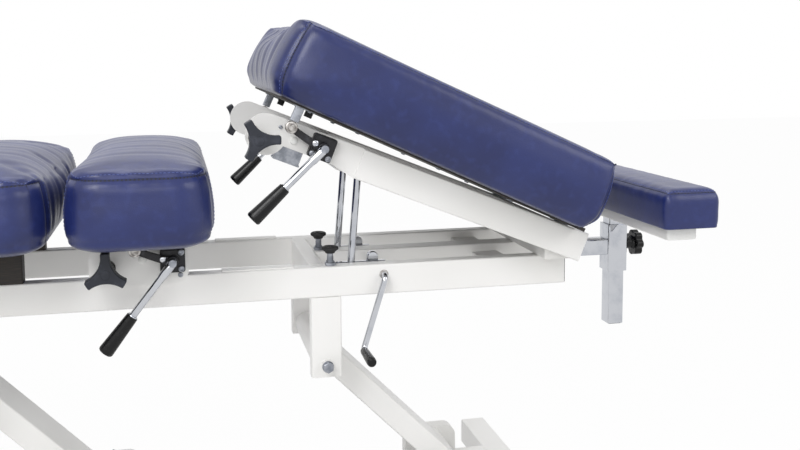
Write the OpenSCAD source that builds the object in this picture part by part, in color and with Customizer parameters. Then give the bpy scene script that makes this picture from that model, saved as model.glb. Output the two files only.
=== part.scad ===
// Chiropractic drop table on a parallelogram lift base.
// X runs from the head end to the foot end, Y across the table, Z up from the floor.
// Shown at mid height with the pelvic section raised and both drop sections cocked.

/* [Lift base] */
// Height of the lower arm pivots above the floor
low_pivot_h = 115; // [105:1:140]
// Pivot to pivot length of the lift arms
arm_len = 335; // [320:1:360]
// Slope of the lift arms above the horizontal
arm_angle = 45; // [42:1:47]
// Distance between the foot end and head end arms
arm_spacing = 600; // [580:5:640]
// Width of the flat arm tube across the table
arm_w = 80; // [60:1:90]
// Depth of the flat arm tube
arm_h = 40; // [34:1:41]
// Outside diameter of the pivot tubes
pivot_tube_d = 41; // [41:0.5:48]
// Height of the floor tubes
floor_tube_h = 50; // [40:1:52]
// Width of the floor tubes
floor_tube_w = 50; // [45:1:60]
// Height of the levelling feet under the floor tubes
foot_gap = 15; // [12:1:20]
// Diameter of a levelling foot
foot_d = 50; // [40:1:60]
// Width of the floor cross tubes over the feet
base_w = 540; // [480:5:620]
// Length of floor tube past each pair of uprights
base_overhang = 72; // [65:1:90]
// Width of an upright along the table
upright_w = 100; // [80:1:110]
// Distance from the lift pivot down to the actuator pin
lever_drop = 70; // [66:1:74]
// Diameter of the actuator's outer tube
actuator_d = 34; // [30:1:40]
// Diameter of the actuator's push rod
push_rod_d = 20; // [16:1:22]

/* [Upper frame] */
// Overall width of the frame over its two outer rails
frame_w = 272; // [260:1:284]
// Height of an outer rail
rail_h = 50; // [46:1:54]
// Width of an outer rail
rail_w = 25; // [22:1:28]
// Width of the middle rail
mid_w = 37; // [36:0.5:40]
// Height of the middle rail
mid_h = 40; // [38:0.5:42]
// Wall of the middle rail
mid_wall = 3; // [2.5:0.1:3.2]
// Rail length from the foot end bracket to the foot end
foot_reach = 437; // [420:1:450]
// Rail length from the foot end bracket to the head end
head_reach = 800; // [780:5:840]
// Width of a bracket leg along the table
leg_w = 50; // [44:1:56]
// Depth of the arm pivots below the rail tops
pivot_drop = 163; // [155:1:175]
// Width of the flush cross member at the bracket
front_cross_w = 26; // [20:1:34]
// Place of the low cross tube along the rails
rear_cross_x = 310; // [280:1:315]
// Width of the low cross tube
rear_cross_w = 50; // [40:1:54]
// Depth of the low cross tube's top below the rail tops
rear_cross_drop = 14; // [10:1:16]
// Height of the hinge beam on the rails
beam_h = 25; // [20:0.5:26]
// Place of the levelling bumpers along the rails
bumper_x = 34; // [32:0.5:36]

/* [Pelvic section] */
// Slope of the raised pelvic carriage
tilt_angle = 22; // [20:0.5:23]
// Slope that is left when the carriage rests on its bumpers
tilt_rest = 2; // [1:0.25:3]
// Length of the carriage side rails
side_len = 405; // [390:1:420]
// Height of the carriage side rails
side_h = 49; // [46:0.5:51]
// Width of a carriage side rail
side_w = 20; // [16:0.5:22]
// Overall width of the carriage over its side rails
carriage_w = 380; // [370:1:390]
// Length of the tongue plates past the side rails
tongue_len = 184; // [176:1:190]
// Thickness of the tongue plates
tongue_t = 5; // [4:0.5:6]
// Extra slope of the cocked pelvic pad over its carriage
cock_angle = 2.8; // [2.4:0.1:3]
// Slope that the pelvic pad drops through
drop_angle = 1.6; // [1.2:0.1:1.8]
// Length of the pelvic cushion
pelvic_len = 582; // [560:1:590]
// Height of the pelvic cushion's side panel
pelvic_side = 110; // [100:1:116]
// Rise of the pelvic cushion's crown over its seam
pelvic_crown = 16; // [10:1:24]
// Thickness of the board under the pelvic cushion
pelvic_board_t = 6; // [5:0.5:7]

/* [Lumbar section] */
// Length of the lumbar cushion
lumbar_len = 221; // [210:1:224]
// Height of the lumbar cushion's side panel
lumbar_side = 92; // [84:1:100]
// Rise of the lumbar cushion's crown over its seam
lumbar_crown = 34; // [26:1:40]
// Gap between the lumbar board and the tops of its side plates
lumbar_gap = 12; // [11.8:0.1:13]
// Height of the cushion undersides over the rail tops
pad_z = 74.5; // [74:0.5:80]
// Thickness of the lumbar and thoracic boards
board_t = 12; // [9:0.5:14]

/* [Thoracic and head sections] */
// Length of the thoracic cushion
thoracic_len = 400; // [360:5:405]
// Length of a head cushion
head_len = 290; // [260:5:310]
// Width of a head cushion
head_w = 125; // [110:1:130]
// Gap between the two head cushions
face_gap = 70; // [60:1:80]
// Height of a head cushion's side
head_side = 60; // [50:1:70]
// Width of the main cushions across the table
pad_w = 530; // [500:5:560]

/* [Foot rest] */
// Width of the foot cushion along the table
foot_pad_len = 99; // [90:1:110]
// Length of the foot cushion across the table
foot_pad_w = 542; // [500:2:560]
// Height of the foot cushion's side
foot_pad_side = 50; // [44:1:60]
// Rise of the foot cushion's crown over its seam
foot_pad_crown = 17; // [10:1:22]
// Distance of the foot post's centre from the bracket
post_x = 596; // [590:1:604]
// Width of the square foot post and its bar
post_w = 30; // [28:0.5:30.5]
// Width of the square sleeve on the foot post
sleeve_w = 38; // [37:0.5:42]
// Length of the foot post below the rail tops
post_drop = 167; // [150:1:180]

/* [Levers and knobs] */
// Diameter of the chrome lever rods
lever_d = 12; // [10:0.5:13]
// Length from the lumbar hub to the lever grip
lever_len = 100; // [90:1:110]
// Length from the pelvic hub to the lever grip
pelvic_lever_len = 83; // [76:1:92]
// Length of a lever grip
grip_len = 69; // [60:1:78]
// Diameter of a lever grip
grip_d = 24; // [18:0.5:26]
// Length of a cam arm from its hub to its roller
cam_len = 60; // [57:0.5:62]
// Diameter of a cam roller
roller_d = 19; // [16:0.5:20]
// Reach of a three lobed knob's lobes
knob_r = 32; // [28:0.5:32.5]
// Diameter of the chrome prop rods
prop_d = 12; // [10:0.5:12]
// Reach of the clamp crank
crank_r = 126; // [110:1:132]
// Diameter of the clamp crank's rod
crank_d = 10; // [8:0.5:11]

/* [Hidden] */
$fn = 48;
cut = 1;
run_fit = 0.05;
seat_gap = 0.4;
open_fit = 1;
side_gap = 1;
tube_r = 3;
knob_t = 20;
bolt_r = 6;
washer_r = 10.6;
washer_t = 2;
hex_t = 6;

// Heights and places worked out from the driving sizes
arm_dx = arm_len * cos(arm_angle);
arm_dz = arm_len * sin(arm_angle);
rail_top = low_pivot_h + arm_dz + pivot_drop;
pivot_x = leg_w / 2;
low_x = pivot_x + arm_dx;
knob_neck = 9;
star_knob_t = 26;
foot_end = post_x + sleeve_w / 2 + knob_neck + star_knob_t;
head_gap = 28;
pad_gap = 13;
lumbar_x1 = -151;
lumbar_x0 = lumbar_x1 - lumbar_len;
thoracic_x1 = lumbar_x0 - pad_gap;
thoracic_x0 = thoracic_x1 - thoracic_len;
head_x1 = thoracic_x0 - head_gap;
head_x0 = head_x1 - head_len;
origin_x = -(foot_end + head_x0) / 2;
inner_y = frame_w / 2 - rail_w;
mid_rail_y = mid_w / 2;
carriage_in = carriage_w / 2 - side_w;
cross_drop = 20;
slide_y = 70;
slide_r = 10;

// Colours of the finishes
paint = "whitesmoke";
vinyl = [0.16, 0.2, 0.43];
zinc = "silver";
chrome = "lightgray";
black = [0.08, 0.08, 0.09];
timber = [0.2, 0.2, 0.22];

// Shared outlines and tubes
module rounded(w, h, r) {
    square([w - 2 * r, h], center = true);
    square([w, h - 2 * r], center = true);
    for (sx = [-1, 1], sy = [-1, 1])
        translate([sx * (w / 2 - r), sy * (h / 2 - r)])
            circle(r);
}

// Tube along X from x0 to x1, centred on y, its top at z
module bar_x(x0, x1, y, z, w, h, r = tube_r) {
    translate([x0, y, z - h / 2])
        rotate([90, 0, 90])
            linear_extrude(x1 - x0)
                rounded(w, h, r);
}

// Tube along Y from y0 to y1, starting at x, its top at z
module bar_y(x, y0, y1, z, w, h, r = tube_r) {
    translate([x + w / 2, y1, z - h / 2])
        rotate([90, 0, 0])
            linear_extrude(y1 - y0)
                rounded(w, h, r);
}

// Upright tube from z0 to z1, centred on x and y
module bar_z(x, y, z0, z1, w, d, r = tube_r) {
    translate([x, y, z0])
        linear_extrude(z1 - z0)
            rounded(w, d, r);
}

// Round rod along Y from y0 to y1 at x and z
module rod_y(x, z, y0, y1, r) {
    translate([x, y1, z])
        rotate([90, 0, 0])
            cylinder(h = y1 - y0, r = r);
}

// Round rod along X from x0 to x1 at y and z
module rod_x(x0, x1, y, z, r) {
    translate([x0, y, z])
        rotate([0, 90, 0])
            cylinder(h = x1 - x0, r = r);
}

// Moves what is drawn about the rail tops into place
module on_frame() {
    translate([origin_x, 0, rail_top])
        children();
}

// Moves what is drawn about the bracket face and the floor into place
module on_floor() {
    translate([origin_x, 0, 0])
        children();
}

// Draws its children on one side of the table, out from the plate face at y
module out_from(side, y) {
    mirror([0, (side > 0) ? 0 : 1, 0])
        translate([0, y, 0])
            children();
}

// Turned grip along Z, thicker towards its free end
grip_neck_share = 0.7;
module grip(h, r, nose) {
    rotate_extrude()
        polygon([[0, 0], [r * grip_neck_share, 0], [r, h - nose], [r - nose, h], [0, h]]);
}

// Lift base
upright_y0 = inner_y - seat_gap - rail_w;
base_rail_y = upright_y0 + floor_tube_w / 2;
floor_top = foot_gap + floor_tube_h;
head_low_x = low_x - arm_spacing;
base_x0 = head_low_x - upright_w / 2 - base_overhang;
base_x1 = low_x + upright_w / 2 + base_overhang;

// Upright of a floor tube, its top corners rounded about the pivot
module upright(x, side) {
    y0 = side * upright_y0;
    translate([x, max(y0, y0 + side * rail_w), 0])
        rotate([90, 0, 0])
            linear_extrude(rail_w)
                difference() {
                    union() {
                        translate([-upright_w / 2, floor_top - cut])
                            square([upright_w, low_pivot_h - floor_top + cut]);
                        translate([-upright_w / 2 + pivot_tube_d / 2, low_pivot_h])
                            circle(pivot_tube_d / 2);
                        translate([upright_w / 2 - pivot_tube_d / 2, low_pivot_h])
                            circle(pivot_tube_d / 2);
                        translate([-upright_w / 2 + pivot_tube_d / 2, low_pivot_h])
                            square([upright_w - pivot_tube_d, pivot_tube_d / 2]);
                    }
                    translate([0, low_pivot_h])
                        circle(bolt_r + run_fit);
                }
}

module base_rail(side) {
    bar_x(base_x0, base_x1, side * base_rail_y, floor_top, floor_tube_w, floor_tube_h);
    for (x = [head_low_x, low_x])
        upright(x, side);
}

module base_rail_near() {
    color(paint)
        on_floor()
            base_rail(-1);
}

module base_rail_far() {
    color(paint)
        on_floor()
            base_rail(1);
}

module base_cross_foot() {
    color(paint)
        on_floor()
            bar_y(base_x1, -base_w / 2, base_w / 2, floor_top, floor_tube_w, floor_tube_h);
}

module base_cross_head() {
    color(paint)
        on_floor()
            bar_y(base_x0 - floor_tube_w, -base_w / 2, base_w / 2, floor_top, floor_tube_w, floor_tube_h);
}

// Four levelling feet, each a rubber disc on a threaded stud
foot_disc_h = 9;
foot_stud_r = 5;
foot_y = base_w / 2 - foot_d / 2;
module floor_feet() {
    color(black)
        on_floor()
            for (x = [base_x0 - floor_tube_w / 2, base_x1 + floor_tube_w / 2], y = [-foot_y, foot_y])
                translate([x, y, 0]) {
                    cylinder(h = foot_disc_h, r = foot_d / 2);
                    cylinder(h = foot_gap, r = foot_stud_r);
                }
}

// Linear actuator lying between the floor tubes, its pin in the slotted lever of the head end arm
pin_z = low_pivot_h - lever_drop;
lever_t = 12;
fork_t = 8;
actuator_start = 150;
actuator_body = 270;
actuator_x0 = head_low_x + actuator_start;
actuator_x1 = actuator_x0 + actuator_body;
motor_w = 90;
motor_h = 60;
motor_r = 12;
rod_hold = 90;
rod_room = 46;
module actuator() {
    color(black)
        on_floor()
            difference() {
                union() {
                    rod_x(actuator_x0, actuator_x1, 0, pin_z, actuator_d / 2);
                    rod_x(actuator_x1 - cut, base_x1, 0, pin_z, push_rod_d / 2);
                    bar_z(actuator_x1 - motor_w / 2, actuator_d / 2, pin_z - motor_r,
                        pin_z - motor_r + motor_h, motor_w, motor_h, motor_r);
                }
                rod_x(actuator_x0 - cut, actuator_x0 + rod_hold + rod_room, 0, pin_z,
                    push_rod_d / 2 + run_fit);
            }
}

module lift_rod() {
    fork_x = head_low_x + lever_w / 2 + push_rod_d / 2 + side_gap;
    color(chrome)
        on_floor() {
            rod_x(fork_x + fork_t, actuator_x0 + rod_hold, 0, pin_z, push_rod_d / 2);
            rod_y(head_low_x, pin_z, -lever_t / 2 - fork_t - seat_gap, lever_t / 2 + fork_t + seat_gap, bolt_r);
            for (side = [-1, 1])
                bar_z((head_low_x - push_rod_d / 2 + fork_x + fork_t) / 2,
                    side * (lever_t / 2 + seat_gap + fork_t / 2), pin_z - push_rod_d / 2, pin_z + push_rod_d / 2,
                    fork_x + fork_t - head_low_x + push_rod_d / 2, fork_t, fork_t / 4);
            translate([fork_x + fork_t / 2, 0, pin_z])
                cube([fork_t, lever_t + fork_t, push_rod_d], center = true);
        }
}

// Lift arm tube between its two pivot tubes, from the lower pivot at x
module arm(x) {
    color(paint)
        on_floor()
            translate([x, 0, low_pivot_h])
                rotate([0, arm_angle, 0])
                    difference() {
                        bar_x(-arm_len, 0, 0, arm_h / 2, arm_w, arm_h);
                        rod_y(0, 0, -arm_w, arm_w, pivot_tube_d / 2);
                        rod_y(-arm_len, 0, -arm_w, arm_w, pivot_tube_d / 2);
                    }
}

// Pivot tube with its bolts, washers and hexagon heads at both ends
module pivot_tube(x, z, half, reach) {
    rod_y(x, z, -half, half, pivot_tube_d / 2);
    rod_y(x, z, -reach - washer_t, reach + washer_t, bolt_r);
    for (side = [-1, 1]) {
        y0 = side * (reach + run_fit);
        y1 = y0 + side * washer_t;
        rod_y(x, z, min(y0, y1), max(y0, y1), washer_r);
        y2 = y1 + side * hex_t;
        translate([x, max(y1, y2), z])
            rotate([90, 0, 0])
                cylinder(h = hex_t, r = bolt_r + washer_t, $fn = 6);
    }
}

low_half = upright_y0 - side_gap;
low_reach = upright_y0 + rail_w;
top_half = inner_y - side_gap;
top_reach = frame_w / 2;

module foot_arm() {
    arm(low_x);
}

module foot_arm_top_tube() {
    color(paint)
        on_floor()
            pivot_tube(low_x - arm_dx, low_pivot_h + arm_dz, top_half, top_reach);
}

module foot_arm_low_tube() {
    color(paint)
        on_floor()
            pivot_tube(low_x, low_pivot_h, low_half, low_reach);
}

module head_arm() {
    arm(head_low_x);
}

module head_arm_top_tube() {
    color(paint)
        on_floor()
            pivot_tube(head_low_x - arm_dx, low_pivot_h + arm_dz, top_half, top_reach);
}

// The lever's slot lets the pin keep its height while the lever swings
slot_play = 1.5;
slot_r = bolt_r + slot_play;
slot_len = 14;
lever_w = 32;
module head_arm_low_tube() {
    color(paint)
        on_floor() {
            pivot_tube(head_low_x, low_pivot_h, low_half, low_reach);
            translate([head_low_x, lever_t / 2, low_pivot_h])
                rotate([90, 0, 0])
                    linear_extrude(lever_t)
                        difference() {
                            union() {
                                translate([-lever_w / 2, -lever_drop - slot_len])
                                    square([lever_w, lever_drop + slot_len]);
                                translate([0, -lever_drop - slot_len])
                                    circle(lever_w / 2);
                            }
                            translate([0, -lever_drop])
                                circle(slot_r);
                            translate([0, -lever_drop - slot_len])
                                circle(slot_r);
                            translate([-slot_r, -lever_drop - slot_len])
                                square([2 * slot_r, slot_len]);
                        }
        }
}

// Upper frame
shaft_x = 121;
shaft_z = -17;
shaft_r = crank_d / 2;
rail_y = frame_w / 2 - rail_w / 2;
strip_t = 2.5;
strip_x0 = -141;
strip_x1 = -28;

module rail(side) {
    bar_x(-head_reach, foot_reach, side * rail_y, 0, rail_w, rail_h);
    bar_x(strip_x0, strip_x1, side * rail_y, strip_t, rail_w - 2 * tube_r, strip_t, strip_t / 4);
}

module rail_near() {
    color(paint)
        on_frame()
            difference() {
                rail(-1);
                rod_y(shaft_x, shaft_z, -frame_w, -inner_y + cut, shaft_r + run_fit);
            }
}

module rail_far() {
    color(paint)
        on_frame()
            rail(1);
}

// Open square tube that the foot bar slides in
module rail_mid() {
    color(paint)
        on_frame()
            difference() {
                bar_x(front_cross_w, foot_reach, 0, 0, mid_w, mid_h);
                bar_x(front_cross_w + mid_wall, foot_reach + cut, 0, -mid_wall,
                    mid_w - 2 * mid_wall, mid_h - 2 * mid_wall, tube_r / 2);
                rod_y(shaft_x, shaft_z, -mid_w, mid_w, shaft_r + run_fit);
            }
}

module cross_front() {
    color(paint)
        on_frame()
            bar_y(0, -inner_y, inner_y, 0, front_cross_w, rail_h);
}

// Low cross tube, one length in each bay
module cross_rear() {
    tube_h = mid_h - rear_cross_drop;
    color(paint)
        on_frame()
            for (span = [[-inner_y, -mid_rail_y], [mid_rail_y, inner_y]])
                bar_y(rear_cross_x, span[0], span[1], -rear_cross_drop, rear_cross_w, tube_h);
}

module cross_head() {
    color(paint)
        on_frame()
            difference() {
                bar_y(-head_reach, -inner_y, inner_y, 0, rail_w, rail_h);
                for (y = [-slide_y, slide_y])
                    rod_x(-head_reach - cut, -head_reach + rail_w + cut, y, -rail_h / 2, slide_r + run_fit);
            }
}

// Bracket leg under a rail, bored for the pivot bolt
leg_end = pivot_drop + pivot_tube_d / 2;
module bracket(x, side, fit) {
    color(paint)
        on_frame()
            difference() {
                bar_z(x + leg_w / 2, side * rail_y, -leg_end, -rail_h, leg_w, rail_w);
                rod_y(x + pivot_x, -pivot_drop, -frame_w, frame_w, bolt_r + fit);
            }
}

module bracket_foot_near() {
    bracket(0, -1, run_fit);
}

module bracket_foot_far() {
    bracket(0, 1, run_fit);
}

// The head end pivots are the ones that stay open
module bracket_head_near() {
    bracket(-arm_spacing, -1, open_fit);
}

module bracket_head_far() {
    bracket(-arm_spacing, 1, open_fit);
}

// Beam across the rails with the lugs of the carriage hinge
hinge_x = 395;
hinge_z = 40;
hinge_pin_r = 6;
lug_r = 12;
lug_t = 8;
lug_y = 120;
beam_w = 50;
module hinge_beam() {
    color(paint)
        on_frame()
            difference() {
                union() {
                    bar_y(foot_reach - beam_w, -carriage_in + side_gap, carriage_in - side_gap, beam_h,
                        beam_w, beam_h);
                    for (side = [-1, 1])
                        translate([hinge_x, side * lug_y + lug_t / 2, 0])
                            rotate([90, 0, 0])
                                linear_extrude(lug_t) {
                                    translate([0, hinge_z])
                                        circle(lug_r);
                                    translate([foot_reach - beam_w - hinge_x + tube_r, beam_h - cut])
                                        square([lug_r + hinge_x - foot_reach + beam_w - tube_r,
                                            hinge_z - beam_h + cut]);
                                }
                }
                rod_y(hinge_x, hinge_z, -frame_w, frame_w, hinge_pin_r + run_fit);
            }
}

// Rubber capped bumpers on threaded studs
cap_r = 14;
cap_h = 10;
stud_r = 5;
nut_r = 9;
nut_h = 5;
bumper_top = hinge_z - cross_drop * cos(tilt_rest) + (hinge_x - bumper_x - cap_r) * sin(tilt_rest) - seat_gap;
module bumpers() {
    color(black)
        on_frame()
            for (y = [-rail_y, 0])
                translate([bumper_x, y, 0]) {
                    cylinder(h = bumper_top - cap_h / 2, r = stud_r);
                    cylinder(h = nut_h, r = nut_r, $fn = 6);
                    translate([0, 0, bumper_top - cap_h])
                        rotate_extrude()
                            intersection() {
                                translate([0, cap_h / 2])
                                    rounded(2 * cap_r, cap_h, cap_h / 3);
                                square([cap_r, cap_h]);
                            }
                }
}

// Clamp plates that grip the prop rods, each with a domed nut above the rail
clamp_t = 6;
clamp_x0 = 40;
clamp_x1 = 132;
clamp_low = -34;
clamp_rise = 2;
dome_x = 110;
dome_z = 5;
dome_r = 9.5;
prop_near_y = -inner_y + prop_d / 2 + seat_gap;
prop_far_y = mid_rail_y + prop_d / 2 + seat_gap;
module clamp_plate(y) {
    translate([0, y + clamp_t, 0])
        rotate([90, 0, 0])
            linear_extrude(clamp_t)
                difference() {
                    union() {
                        translate([clamp_x0, clamp_low])
                            square([clamp_x1 - clamp_x0, -clamp_low - clamp_rise]);
                        translate([dome_x, dome_z])
                            circle(dome_r);
                        translate([dome_x - dome_r, -clamp_rise - cut])
                            square([2 * dome_r, dome_z + clamp_rise + cut]);
                    }
                    translate([shaft_x, shaft_z])
                        circle(shaft_r + run_fit);
                }
}

clamp_near_y = prop_near_y + prop_d / 2 + seat_gap;
clamp_far_y = prop_far_y + prop_d / 2 + seat_gap;
module clamp_plates() {
    color(chrome)
        on_frame() {
            clamp_plate(clamp_near_y);
            clamp_plate(clamp_far_y);
        }
}

// Domed nut of each clamp plate, and the spacer that holds the plate off its wall
module clamp_fixings() {
    color(chrome)
        on_frame()
            for (at = [[clamp_near_y, -inner_y], [clamp_far_y, mid_rail_y]]) {
                translate([dome_x, at[0], dome_z])
                    rotate([90, 0, 0])
                        intersection() {
                            sphere(r = dome_r);
                            cylinder(h = dome_r / 2, r = dome_r);
                        }
                rod_y(clamp_x1 - dome_r / 2, clamp_low + dome_r / 2, at[1], at[0], dome_r / 3);
            }
}

// Bent crank that tightens the clamps, with a turned grip
crank_angle = 17.5;
crank_off = 14;
crank_y = -frame_w / 2 - crank_off;
crank_grip_len = 62;
crank_grip_r = 8;
knuckle_r = shaft_r + seat_gap;
module clamp_crank() {
    far_y = prop_far_y + prop_d + clamp_t;
    tip_x = shaft_x - crank_r * sin(crank_angle);
    tip_z = shaft_z - crank_r * cos(crank_angle);
    color(chrome)
        on_frame() {
            rod_y(shaft_x, shaft_z, crank_y, far_y, shaft_r);
            translate([shaft_x, crank_y, shaft_z]) {
                sphere(r = knuckle_r);
                rotate([0, 180 + crank_angle, 0])
                    cylinder(h = crank_r, r = shaft_r);
            }
            translate([tip_x, crank_y, tip_z])
                sphere(r = knuckle_r);
            rod_y(tip_x, tip_z, crank_y - shaft_r, crank_y, shaft_r);
        }
    color(black)
        on_frame()
            translate([tip_x, crank_y - shaft_r, tip_z])
                rotate([90, 0, 0])
                    grip(crank_grip_len, crank_grip_r, tube_r);
}

// Drop units: one on each side plate of the lumbar and pelvic sections
block_w = 38;
block_t = 14;
cam_t = 6;
cam_r = 9;
cam_arm_share = 0.7;
cam_hub_r = 8;
roller_pin_r = 4;
rod_start = 8;
boss_r = 11;
boss_t = 12;
roller_t = 9;
lever_off = 30;
hub_bolt_r = 5;
hub_bolt_h = 4;
hub_bolt_edge = 6;
cam_y = block_t + side_gap;
roller_y = cam_y + cam_t + seat_gap;
shaft_half = lever_off + boss_t / 2;

// Knob with three square ended lobes, hollowed between them, on its stub
knob_stand = 31;
knob_neck_r = 12;
lobe_w = 14;
knob_web = 14;
hub_cap_r = 9;
hub_cap_t = 1.5;
lobe_half = lobe_w / 2 + cut;
flank_x = (knob_r * knob_r + lobe_w * lobe_w / 4 - knob_web * knob_web)
    / (knob_r + lobe_w * sin(60) - 2 * knob_web);
module lobed_knob() {
    rod_y(0, 0, run_fit, knob_stand + cut, knob_neck_r);
    translate([0, knob_stand + knob_t, 0])
        rotate([90, 0, 0])
            linear_extrude(knob_t)
                difference() {
                    polygon([for (a = [90, 210, 330], s = [-1, 1])
                        [knob_r * cos(a) - s * lobe_half * sin(a), knob_r * sin(a) + s * lobe_half * cos(a)]]);
                    for (a = [30, 150, 270])
                        rotate(a)
                            translate([flank_x, 0])
                                circle(flank_x - knob_web);
                }
    rod_y(0, 0, knob_stand + knob_t - cut, knob_stand + knob_t + hub_cap_t, hub_cap_r);
}

// Bearing block with its two cap screws, drawn about the hub
module hub_block(turn) {
    reach = block_w / 2 - hub_bolt_edge;
    difference() {
        translate([0, block_t, 0])
            rotate([90, 0, 0])
                linear_extrude(block_t)
                    rounded(block_w, block_w, tube_r);
        rod_y(0, 0, -cut, block_t + cut, bolt_r + run_fit);
    }
    rotate([0, turn, 0])
        for (z = [-reach, reach])
            difference() {
                rod_y(reach, z, block_t - cut, block_t + hub_bolt_h, hub_bolt_r);
                translate([reach, block_t + hub_bolt_h + cut, z])
                    rotate([90, 0, 0])
                        cylinder(h = cut + hub_bolt_h / 2, r = hub_bolt_r / 2, $fn = 6);
            }
}

// Cam arm and its roller, at angle a above +X
module cam(a) {
    arm_r = cam_r * cam_arm_share;
    x = cam_len * cos(a);
    z = cam_len * sin(a);
    translate([0, cam_y + cam_t, 0])
        rotate([90, 0, 0])
            linear_extrude(cam_t)
                rotate(a) {
                    circle(cam_r);
                    translate([cam_len, 0])
                        circle(arm_r);
                    translate([0, -arm_r])
                        square([cam_len, 2 * arm_r]);
                }
    rod_y(x, z, cam_y + cam_t - cut, roller_y + cut, roller_pin_r);
    rod_y(x, z, roller_y, roller_y + roller_t, roller_d / 2);
}

// Lever unit keyed on the end of a shaft: cam arm and roller, then the chrome rod and its turned grip
module lever_unit(cam_angle, lever_angle, reach) {
    difference() {
        union() {
            color(zinc) {
                cam(cam_angle);
                rod_y(0, 0, cam_y, lever_off, cam_hub_r);
            }
            color(chrome)
                translate([0, lever_off, 0]) {
                    rod_y(0, 0, -boss_t / 2, boss_t / 2, boss_r);
                    rotate([0, 90 - lever_angle, 0])
                        translate([0, 0, rod_start])
                            cylinder(h = reach + grip_len / 2 - rod_start, r = lever_d / 2);
                }
        }
        rod_y(0, 0, 0, shaft_half + cut, bolt_r);
    }
    color(black)
        translate([0, lever_off, 0])
            rotate([0, 90 - lever_angle, 0])
                translate([0, 0, reach])
                    grip(grip_len, grip_d / 2, tube_r);
}

// Soft pads: a grid of points over the crown and rings of points down the drawn in side
side_rise_shares = [0, 0.06, 0.14, 0.27, 0.48, 0.7, 0.88];
side_inset_shares = [0.43, 0.24, 0.11, 0.05, 0.01, 0, 0.03];
seam_inset_share = 0.085;
roll_shares = [0, 0.12, 0.42];
dome_share = 0.25;
flutes_share = 0.4;

// Grid stations along one direction, closer together over the rolled edge
function stations(half, roll, n) = concat(
    [for (s = roll_shares) s * roll - half],
    [for (i = [0 : n]) (half - roll) * (2 * i / n - 1)],
    [for (k = [len(roll_shares) - 1 : -1 : 0]) half - roll_shares[k] * roll]);

// A point of a rectangle moved into its rounded corner
function rounded_point(x, y, a, b, r) =
    let (dx = max(abs(x) - a + r, 0) / r, dy = max(abs(y) - b + r, 0) / r)
    [sign(x) * (min(abs(x), a - r) + r * dx * sqrt(1 - dy * dy / 2)),
        sign(y) * (min(abs(y), b - r) + r * dy * sqrt(1 - dx * dx / 2))];

// Height of the rolled edge at t of the way in
function roll_up(t) = sqrt(1 - pow(1 - min(max(t, 0), 1), 2));

module pad(length, width, side, crown, corner, roll, nx, ny, flute) {
    inset = seam_inset_share * side;
    a = length / 2 - inset;
    b = width / 2 - inset;
    xs = stations(a, roll, nx);
    ys = stations(b, roll, ny);
    mx = len(xs) - 1;
    my = len(ys) - 1;
    pitch = flutes_share * (b - roll);
    border = concat([for (i = [0 : mx - 1]) [i, 0]], [for (j = [0 : my - 1]) [mx, j]],
        [for (i = [mx : -1 : 1]) [i, my]], [for (j = [my : -1 : 1]) [0, j]]);
    count = len(border);
    rings = [for (k = [0 : len(side_rise_shares) - 1], p = border)
        let (d = side_inset_shares[k] * side, ra = length / 2 - d, rb = width / 2 - d,
            q = rounded_point(xs[p[0]] * ra / a, ys[p[1]] * rb / b, ra, rb, max(corner - d, corner / 3)))
        [q[0], q[1], side_rise_shares[k] * side]];
    crown_at = [for (x = xs, y = ys)
        let (edge = roll_up((a - abs(x)) / roll) * roll_up((b - abs(y)) / roll),
            dome = 1 - dome_share + dome_share * (1 - pow(x / a, 2)) * (1 - pow(y / b, 2)),
            ridge = (abs(y) > b - roll) ? 1 : abs(sin(180 * y / pitch)),
            q = rounded_point(x, y, a, b, corner - inset))
        [q[0], q[1], side + edge * (crown * dome - flute * (1 - ridge))]];
    points = concat(rings, crown_at, [[0, 0, 0]]);
    base = len(rings);
    bands = len(side_rise_shares);
    function at(i, j) = base + i * (my + 1) + j;
    function on_ring(k, p) = (k < bands) ? k * count + p % count : at(border[p % count][0], border[p % count][1]);
    faces = concat(
        [for (p = [0 : count - 1]) [len(points) - 1, on_ring(0, p), on_ring(0, p + 1)]],
        [for (k = [0 : bands - 1], p = [0 : count - 1]) [on_ring(k, p), on_ring(k + 1, p), on_ring(k + 1, p + 1)]],
        [for (k = [0 : bands - 1], p = [0 : count - 1]) [on_ring(k, p), on_ring(k + 1, p + 1), on_ring(k, p + 1)]],
        [for (i = [0 : mx - 1], j = [0 : my - 1]) [at(i, j), at(i, j + 1), at(i + 1, j + 1)]],
        [for (i = [0 : mx - 1], j = [0 : my - 1]) [at(i, j), at(i + 1, j + 1), at(i + 1, j)]]);
    polyhedron(points, faces);
}

// Lumbar side plates, their drop units and shaft
plate_t = 5;
lumbar_face = frame_w / 2 + plate_t;
plate_x0 = -343;
plate_x1 = -193;
plate_low = -10;
plate_r = 18;
plate_top = pad_z - board_t - lumbar_gap;
wear_t = 4;
wear_w = 24;
lumbar_hub_x = -217;
lumbar_cam_angle = 159.5;
lumbar_lever_angle = 231.8;
lumbar_knob_x = -315.4;
lumbar_knob_z = 19;
lumbar_roller_top = pad_z - board_t - wear_t - seat_gap;
lumbar_hub_z = lumbar_roller_top - roller_d / 2 - cam_len * sin(lumbar_cam_angle);

module lumbar_plate(side) {
    color(paint)
        on_frame()
            out_from(side, frame_w / 2)
                difference() {
                    translate([(plate_x0 + plate_x1) / 2, plate_t, (plate_low + plate_top) / 2])
                        rotate([90, 0, 0])
                            linear_extrude(plate_t)
                                rounded(plate_x1 - plate_x0, plate_top - plate_low, plate_r);
                    rod_y(lumbar_hub_x, lumbar_hub_z, -cut, plate_t + cut, bolt_r + run_fit);
                }
}

module lumbar_plate_near() {
    lumbar_plate(-1);
}

module lumbar_plate_far() {
    lumbar_plate(1);
}

// Draws its children about the lumbar hub, out from the plate on one side
module at_lumbar_hub(side) {
    on_frame()
        out_from(side, lumbar_face)
            translate([lumbar_hub_x, 0, lumbar_hub_z])
                children();
}

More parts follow.
